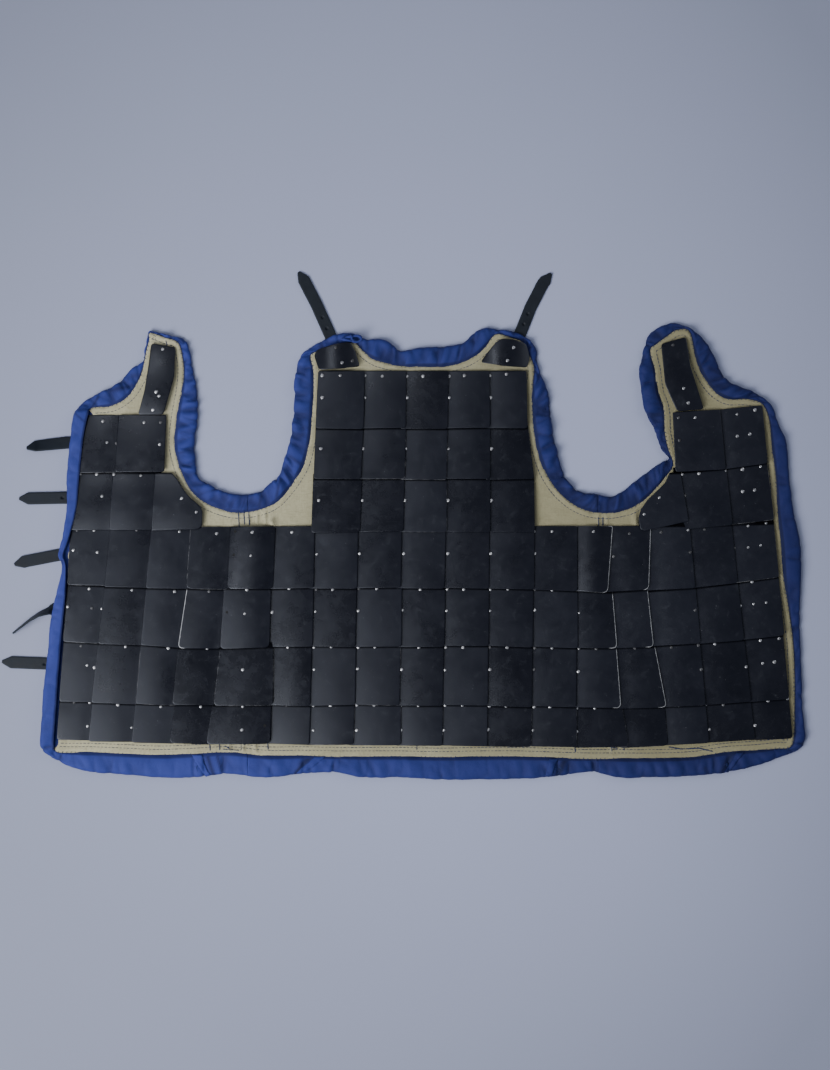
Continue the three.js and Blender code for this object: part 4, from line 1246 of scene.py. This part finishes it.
def capped(name, points, sides):
    """A shape of rings of points, closed at both ends."""
    rings = len(points) // sides
    ends = [tuple(range(len(points) - sides, len(points))), tuple(reversed(range(sides)))]
    return make_object(name, points, loft(rings, sides) + ends)


def turned_shape(key):
    rings, wobble = TURNED[key]
    points = []
    for radius, z in rings:
        for k in range(12):
            angle = k / 12 * math.tau
            r = radius * (1 + wobble * (math.sin(3 * angle + 1) + 0.7 * math.sin(5 * angle)))
            points.append((r * math.cos(angle), r * math.sin(angle), z))
    return capped(f"{key}_shape", points, 12)


def thread_shape(name, length, thick, bend, sag):
    """A short thread along X: six-sided, thin at its ends, bowed up or sideways."""
    points = []
    for t in (0.0, 0.12, 0.35, 0.65, 0.88, 1.0):
        lift = math.sin(math.pi * t)
        r = thick * (0.35 + 0.65 * min(1.0, lift * 2))
        for k in range(6):
            angle = k / 6 * math.tau
            y, z = bend * lift + r * math.cos(angle), sag * lift - 0.1 + r * math.sin(angle)
            points.append(((t - 0.5) * length, y, z))
    thread = capped(name, points, 6)
    outward(thread)
    return thread


def set_tree(name, shape, material):
    """Geometry nodes that set a copy of one shape on every point, upright to it and turned its way."""
    tree = bpy.data.node_groups.new(name, "GeometryNodeTree")
    made = [
        tree.interface.new_socket(label, in_out=way, socket_type=f"NodeSocket{kind}")
        for label, way, kind in (
            ("Geometry", "INPUT", "Geometry"), ("Size spread", "INPUT", "Float"),
            ("Seed", "INPUT", "Int"), ("Geometry", "OUTPUT", "Geometry"),
        )
    ]

    def add(kind, inputs=(), output=0, **settings):
        return add_node(tree, kind, inputs, **settings).outputs[output]

    source = add_node(tree, "NodeGroupInput").outputs
    turned = {}
    for key, axis, pivot in (("lie", "Z", "AUTO"), ("way", "X", "Z")):
        turned["Vector"] = add(
            "GeometryNodeInputNamedAttribute", {"Name": key}, "Attribute", data_type="FLOAT_VECTOR"
        )
        turned["Rotation"] = add("FunctionNodeAlignRotationToVector", turned, axis=axis, pivot_axis=pivot)
    limits = [
        add("ShaderNodeMath", {0: 1.0, 1: source["Size spread"]}, operation=operation)
        for operation in ("SUBTRACT", "ADD")
    ]
    inputs = {2: limits[0], 3: limits[1], "Seed": source["Seed"]}
    scale = add("FunctionNodeRandomValue", inputs, 1, data_type="FLOAT")
    points = add("GeometryNodeMeshToPoints", {0: source["Geometry"]})
    item = add("GeometryNodeObjectInfo", {"Object": shape}, "Geometry")
    inputs = {"Points": points, "Instance": item, "Rotation": turned["Rotation"], "Scale": scale}
    placed = add("GeometryNodeInstanceOnPoints", inputs)
    real = add("GeometryNodeRealizeInstances", {0: placed})
    painted = add("GeometryNodeSetMaterial", {"Geometry": real, "Material": material})
    add_node(tree, "NodeGroupOutput", {0: painted})
    return tree, made[1].identifier, made[2].identifier


def stamped(name, places, shape, material, spread):
    """One piece made of copies of a shape. Each place is its point, what is up there, and its way."""
    mesh = bpy.data.meshes.new(name)
    mesh.from_pydata([place[0] for place in places], [], [])
    for k, key in ((1, "lie"), (2, "way")):
        values = [c for place in places for c in place[k]]
        mesh.attributes.new(key, "FLOAT_VECTOR", "POINT").data.foreach_set("vector", values)
    obj = place_mesh(name, mesh)
    modifier = obj.modifiers.new("set", "NODES")
    modifier.node_group, size, seed = set_tree(f"{name} set", shape, material)
    modifier[size] = spread
    modifier[seed] = 5
    bpy.context.view_layer.update()
    done = bpy.data.meshes.new_from_object(obj.evaluated_get(bpy.context.evaluated_depsgraph_get()))
    obj.modifiers.clear()
    obj.data = done
    if not done.materials:
        done.materials.append(material)
    bpy.data.objects.remove(shape)
    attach(obj, "root")


def any_way(chance):
    angle = chance.uniform(0, math.tau)
    return (math.cos(angle), math.sin(angle), 0.0)


def drop(tree, x, y):
    """Where a point above the piece comes down on it, and what is up there."""
    hit, normal, _, _ = tree.ray_cast(Vector((x * MM, y * MM, 0.1)), Vector((0, 0, -1)))
    return hit, normal


def set_down(tree, spots, way):
    """Spots dropped on a surface: the point, what is up there, and the way a rule gives."""
    out = []
    for spot in spots:
        hit, normal = drop(tree, *spot[:2])
        if hit is not None:
            out.append((hit, normal, way(spot)))
    return out


def make_rivets(tree):
    """Tails, heads and empty holes."""
    chance = random.Random(3)
    places, dull, under = [], [], []
    for x, y in (spot for row in RIVETS.values() for spot in row):
        hit, normal = drop(tree, x + (READ_LEFT if x < LEFT_OF else READ_RIGHT), y - READ_BELOW)
        if hit is not None:
            hit = Vector((x * MM, (y + 1.0) * MM, hit.z + 0.0001))
            (dull if (x, y) in DULL else places).append((hit, normal, any_way(chance)))
            under.append(((x * MM, y * MM, CLOTH_Z * MM), (0, 0, -1), any_way(chance)))
    holes = set_down(tree, EMPTY_HOLES, lambda spot: any_way(chance))
    stamped("rivet_tails", places, turned_shape("tail"), TAILS, 0.2)
    stamped("dull_rivet_tails", dull, turned_shape("dull"), DULL_TAILS, 0.12)
    stamped("rivet_heads", under, turned_shape("head"), HEADS, 0.04)
    stamped("empty_rivet_holes", holes, turned_shape("hole"), HOLE_SHADE, 0.05)


# Straps

STRAP_WIDTH = 17.6
STRAP_THICK = 2.7
# Length of a strap's point, how wide it still is at the tip, and how deep its holes are
STRAP_POINT = 13
STRAP_TIP = 0.24
HOLE_DEPTH = 2.3
# Cells across a strap, and length of each along it
STRAP_CELLS = 15
STRAP_STEP = 1.2


def strap_section(x, y, side, half, angle, holes):
    """Points across a strap, its upper face then its lower, and how far each is from its edge."""
    c, s = math.cos(angle), math.sin(angle)
    rise = half * s + STRAP_THICK / 2 * c + 0.05
    points, edge = [], []
    for level in (1, -1):
        for k in range(STRAP_CELLS + 1):
            w = mix(-half, half, k / STRAP_CELLS)
            inset = half - abs(w)
            t = level * (STRAP_THICK / 2 - 0.5 * (1 - smooth(0, 1.2, inset)))
            px, py = x + side[0] * (w * c - t * s), y + side[1] * (w * c - t * s)
            pz = rise + w * s + t * c
            if level > 0:
                away = [math.hypot(px - hx, py - hy) for hx, hy in holes]
                pz -= sum(HOLE_DEPTH * (1 - smooth(1.0, 2.0, gap)) for gap in away)
            points.append((px, py, max(0.02, pz)))
            edge.append(inset)
    return points, edge


def make_strap(name, line, roll=None, holes=()):
    """A band that follows its line, comes to a blunt point and is pierced by its holes."""
    path = np.array(line, float)
    lengths = lengths_along(path)
    total = lengths[-1]
    count = int(total / STRAP_STEP)
    points, edge = [], []
    for i in range(count + 1):
        s = total * i / count
        x, y, dx, dy = place_and_way(path, lengths, s, 7)
        half = STRAP_WIDTH / 2 * mix(STRAP_TIP, 1.0, clamp((total - s) / STRAP_POINT))
        angle = math.radians(np.interp(s, lengths, roll or [0] * len(path)))
        section = strap_section(x, y, (-dy, dx), half, angle, holes)
        points += section[0]
        edge += section[1]
    row = 2 * (STRAP_CELLS + 1)
    loop = [*range(STRAP_CELLS + 1), *range(row - 1, STRAP_CELLS, -1)]
    faces = [tuple(loop), tuple(count * row + k for k in reversed(loop))]
    for i in range(count):
        for a, b in zip(loop, loop[1:] + loop[:1]):
            faces.append((i * row + a, (i + 1) * row + a, (i + 1) * row + b, i * row + b))
    obj = make_object(f"leather_{name}", points, faces, LEATHER)
    mark(obj, "edge", edge)
    outward(obj)
    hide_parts(name)
    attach(obj, "root")


# Stitches


def along_path(path, step):
    """Points and ways along a path, one every step."""
    path = np.array(path, float)
    lengths = lengths_along(path)
    return [place_and_way(path, lengths, (k + 0.5) * step, 2) for k in range(int(lengths[-1] / step))]


def inside_edge(by):
    """The lining's edge, moved in, without the stretch that is hidden under the left front's fold."""
    edge = np.array(canvas_edge())
    way = np.roll(edge, -3, axis=0) - np.roll(edge, 3, axis=0)
    way /= np.linalg.norm(way, axis=1)[:, None]
    moved = edge + np.stack([-way[:, 1], way[:, 0]], axis=1) * by
    keep = STATIONS[:, 5] < 0.05
    start = int(np.argmin(keep))
    order = [(start + i) % len(edge) for i in range(len(edge))]
    return [moved[i] for i in order if keep[i]]


# Stitches: how far in from the lining's edge each line runs, and the length from one to the next
TOPSTITCH = (8.5, 13.5)
WHIPSTITCH = -0.3
TOPSTITCH_STEP = 5.4
WHIPSTITCH_STEP = 6.2
TACK_STEP = 4.0
# Marks of navy thread left where the panels are joined, and along the hem
MARKS = [
    [(-239, 21), (-238, -3)], [(-231, 21), (-230, -2)], [(-224, 20), (-223, -3)], [(283, 12), (284, -4)],
    [(290, 12), (290, -4)], [(-281, -315), (-280, -328)], [(-267, -314), (-266, -329)],
    [(-259, -320), (-252, -324)], [(-235, -315), (-235, -327)], [(-197, -313), (-196, -325)],
    [(20, -318), (20, -329)], [(249, -317), (250, -329)], [(302, -316), (303, -328)],
    [(320, -315), (321, -330)], [(386, -322), (404, -325), (430, -324), (452, -329)],
    [(300, -322), (312, -324)], [(-262, -325), (-236, -327)], [(-101, 258), (-88, 247), (-74, 241)],
    [(392, 245), (404, 236)], [(-344, 268), (-342, 256)],
]


def make_stitches(lining, cloth):
    """Running stitches inside the lining's edge, whipped ones over it, and the marks."""
    both = surface_tree([lining, *cloth])
    outer, inner = (along_path(inside_edge(by), TOPSTITCH_STEP) for by in TOPSTITCH)
    at_hem = [spot for spot in inner if spot[1] < -300 and -500 < spot[0] < 560]
    marks = [spot for mark in MARKS for spot in along_path(mark, TACK_STEP)]
    running = set_down(surface_tree([lining]), outer + at_hem, lambda spot: (*spot[2:], 0.0))
    tacks = set_down(both, marks, lambda spot: (*spot[2:], 0.0))
    whip = [
        ((x * MM, y * MM, (RIM_Z + CANVAS) * MM), (0, 0, 1), (-wy + wx * 0.4, wx + wy * 0.4, 0.0))
        for x, y, wx, wy in along_path(inside_edge(WHIPSTITCH), WHIPSTITCH_STEP)
        if drop(both, x, y)[0] is not None
    ]
    for name, places, shape, spread in (
        ("lining_topstitch", running, ("stitch", 4.3, 0.42, 0.0, 0.35), 0.2),
        ("edge_whipstitch", whip, ("whip", 4.2, 0.42, 0.4, 0.3), 0.25),
        ("seam_tacking", tacks, ("tack", 4.6, 0.75, 0.3, 0.5), 0.2),
    ):
        stamped(name, places, thread_shape(*shape), NAVY_THREAD, spread)


# Where the wool frays: middle, spread each way, and number of threads
FRAYS = [
    (-297, -350, 5, 8, 5), (226, -354, 5, 8, 6), (468, -346, 5, 8, 6), (-76, 273, 9, 5, 10),
    (-140, -350, 5, 6, 4),
]


def make_frays(tree):
    chance = random.Random(8)
    spots = (
        (chance.gauss(mx, sx * 0.6), chance.gauss(my, sy * 0.6))
        for mx, my, sx, sy, count in FRAYS
        for _ in range(count)
    )
    places = set_down(tree, spots, lambda spot: any_way(chance))
    shape = thread_shape("fray", 7.0, 0.22, 1.4, 0.5)
    stamped("frayed_wool_threads", places, shape, BLUE_THREAD, 0.45)


TAB_ROWS = 16
TAB_CELLS = 8


def tab_points(tree, number, sides):
    """Points of one tab, its upper face then its lower, laid on the cloth."""
    points = []
    for level in (0.9, 0.0):
        for i in range(TAB_ROWS + 1):
            t = i / TAB_ROWS * (len(sides[0]) - 1)
            a, b = (
                np.array([np.interp(t, range(len(side)), part) for part in zip(*side)]) for side in sides
            )
            for k in range(TAB_CELLS + 1):
                u = k / TAB_CELLS
                x, y = a + (b - a) * u
                if k in (0, TAB_CELLS):
                    x += 1.6 * noise.noise(Vector((i * 0.9, number * 5.0, 8.0 if k else 3.0)))
                hit, _ = drop(tree, x, y)
                low = hit.z / MM if hit is not None else 5.0
                lift = 0.9 * math.sin(math.pi * u)
                lift += 0.5 * noise.noise(Vector((i * 0.3, k * 0.4, number)))
                points.append((x, y, max(low, 5.0) + 0.3 + lift + level))
    return points


def make_tabs(tree):
    """The seam tabs: short raw-edged strips of the wool that lie over its turned hem."""
    points, faces = [], []
    row, layer = TAB_CELLS + 1, (TAB_ROWS + 1) * (TAB_CELLS + 1)
    rim = [i * row for i in range(TAB_ROWS + 1)] + [TAB_ROWS * row + k for k in range(1, row)]
    rim += [i * row + TAB_CELLS for i in range(TAB_ROWS - 1, -1, -1)] + [*range(TAB_CELLS - 1, 0, -1)]
    for number, sides in enumerate(TABS):
        base = len(points)
        points += tab_points(tree, number, sides)
        for i in range(TAB_ROWS):
            for k in range(TAB_CELLS):
                a = base + i * row + k
                face = (a, a + 1, a + 1 + row, a + row)
                faces += [face, tuple(layer + corner for corner in reversed(face))]
        for a, b in zip(rim, rim[1:] + rim[:1]):
            faces.append((base + a, base + b, base + layer + b, base + layer + a))
    tabs = make_object("wool_seam_tabs", points, faces, WOOL)
    outward(tabs)
    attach(tabs, "root")


def make_knot():
    """The small hard knot of wool at the left end of the back neck."""
    points, turns, sides = [], 60, 8
    for i in range(turns):
        t = i / turns * math.tau
        x = -74 + 10 * math.cos(t) + 3.5 * math.cos(3 * t)
        y = 270 + 3.4 * math.sin(2 * t) + 1.2 * math.sin(3 * t)
        z = 14.2 + 1.3 * math.sin(3 * t + 0.6)
        fx = -10 * math.sin(t) - 10.5 * math.sin(3 * t)
        fy = 6.8 * math.cos(2 * t) + 3.6 * math.cos(3 * t)
        size = math.hypot(fx, fy)
        r = 1.9 + 0.4 * math.sin(5 * t)
        for k in range(sides):
            a = k / sides * math.tau
            out = r * math.cos(a) / size
            points.append((x - fy * out, y + fx * out, z + r * math.sin(a)))
    faces = [tuple(k % len(points) for k in face) for face in loft(turns + 1, sides)]
    knot = make_object("neck_knot", points, faces, WOOL)
    outward(knot)
    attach(knot, "root")


# Putting it together

whole = make_cloth()
panels = cut_panels(whole)
lining = make_canvas()
make_back()
make_fronts()
make_skirt()
make_shoulders()
make_rivets(surface_tree([o for o in bpy.data.objects if o.name.startswith("iron_")]))
for key, spec in STRAPS.items():
    make_strap(key, **spec)
make_stitches(lining, panels)
wool_tree = surface_tree(panels)
make_frays(wool_tree)
make_tabs(wool_tree)
make_knot()


for panel, name in zip(panels, ("left_front", "back", "right_front")):
    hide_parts(f"cloth_{name}")
    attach(panel, "root")
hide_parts("canvas_lining")
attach(lining, "root")
for name, node in frame["nodes"].items():
    if name.startswith("buckle"):
        for slot in node.material_slots:
            slot.material = BUCKLES

# Floor, light and camera

# The floor, in metres, a little below the part so that the two don't share a height
FLOOR_SIZE = 14
FLOOR_Z = -0.0002
# Lamps: name, place, what it points at, size, power and colour
LAMPS = (
    ("window", (-1.85, -1.15, 2.1), (-0.1, 0, 0), 1.7, 97, (0.97, 0.98, 1.0)),
    ("far side", (-0.80, 1.05, 2.55), (-0.3, 0.1, 0), 0.45, 6, (0.97, 0.98, 1.0)),
    ("overhead", (-0.85, -0.66, 2.7), (-0.3, -0.1, 0), 0.7, 8, (0.98, 0.99, 1.0)),
    ("fill", (2.6, 1.9, 1.9), (0.1, 0, 0), 1.8, 21, (0.95, 0.97, 1.0)),
)


def floor_material():
    """A pale floor with painted shade: darker to the left, toward its ends and toward the lower left."""
    n = Nodes("pale floor")
    x, y = n.across(0), n.across(1)
    wide = n.maths("POWER", n.maths("DIVIDE", x, 0.66), 2.0)
    tall = n.maths("POWER", n.maths("DIVIDE", y, 0.86), 2.0)
    near = n.maths("SUBTRACT", n.maths("MULTIPLY", x, -0.7), y)
    colour = n.coats(
        n.ramp(n.noise(2.0, 2.0), [(0.3, (0.432, 0.470, 0.662)), (0.7, (0.446, 0.485, 0.682))]),
        (x, (-0.7, 0.7, 0.42, 0.0), (0.24, 0.26, 0.345)),
        (n.maths("ADD", wide, tall), (0.2, 1.5, 0.0, 0.74), (0.24, 0.26, 0.350)),
        (near, (0.2, 0.9, 0.0, 0.42), (0.24, 0.26, 0.350)),
    )
    return n.finish(colour, 0.8, n.bumps((n.noise(300.0), 0.05, 0.001)))


def make_stage():
    bpy.ops.mesh.primitive_plane_add(size=FLOOR_SIZE, location=(0, 0, FLOOR_Z))
    floor = bpy.context.object
    floor.name = "floor"
    floor.data.materials.append(floor_material())
    link = bpy.context.collection.objects.link
    for name, place, aim, size, power, tint in LAMPS:
        lamp = bpy.data.lights.new(name, "AREA")
        lamp.shape = "SQUARE"
        lamp.size = size
        lamp.energy = power
        lamp.color = tint
        obj = bpy.data.objects.new(name, lamp)
        obj.location = place
        obj.rotation_euler = (Vector(aim) - Vector(place)).to_track_quat("-Z", "Y").to_euler()
        link(obj)
    world = bpy.data.worlds.new("soft room")
    world.use_nodes = True
    world.node_tree.nodes["Background"].inputs[0].default_value = (0.76, 0.83, 1.0, 1.0)
    world.node_tree.nodes["Background"].inputs[1].default_value = 0.20
    bpy.context.scene.world = world
    camera = bpy.data.cameras.new("camera")
    camera.lens = 69.4
    camera.sensor_width = 36
    eye = bpy.data.objects.new("camera", camera)
    eye.location = (0.0174, -0.0141, 3.0)
    link(eye)
    bpy.context.scene.camera = eye


make_stage()
bpy.context.view_layer.update()
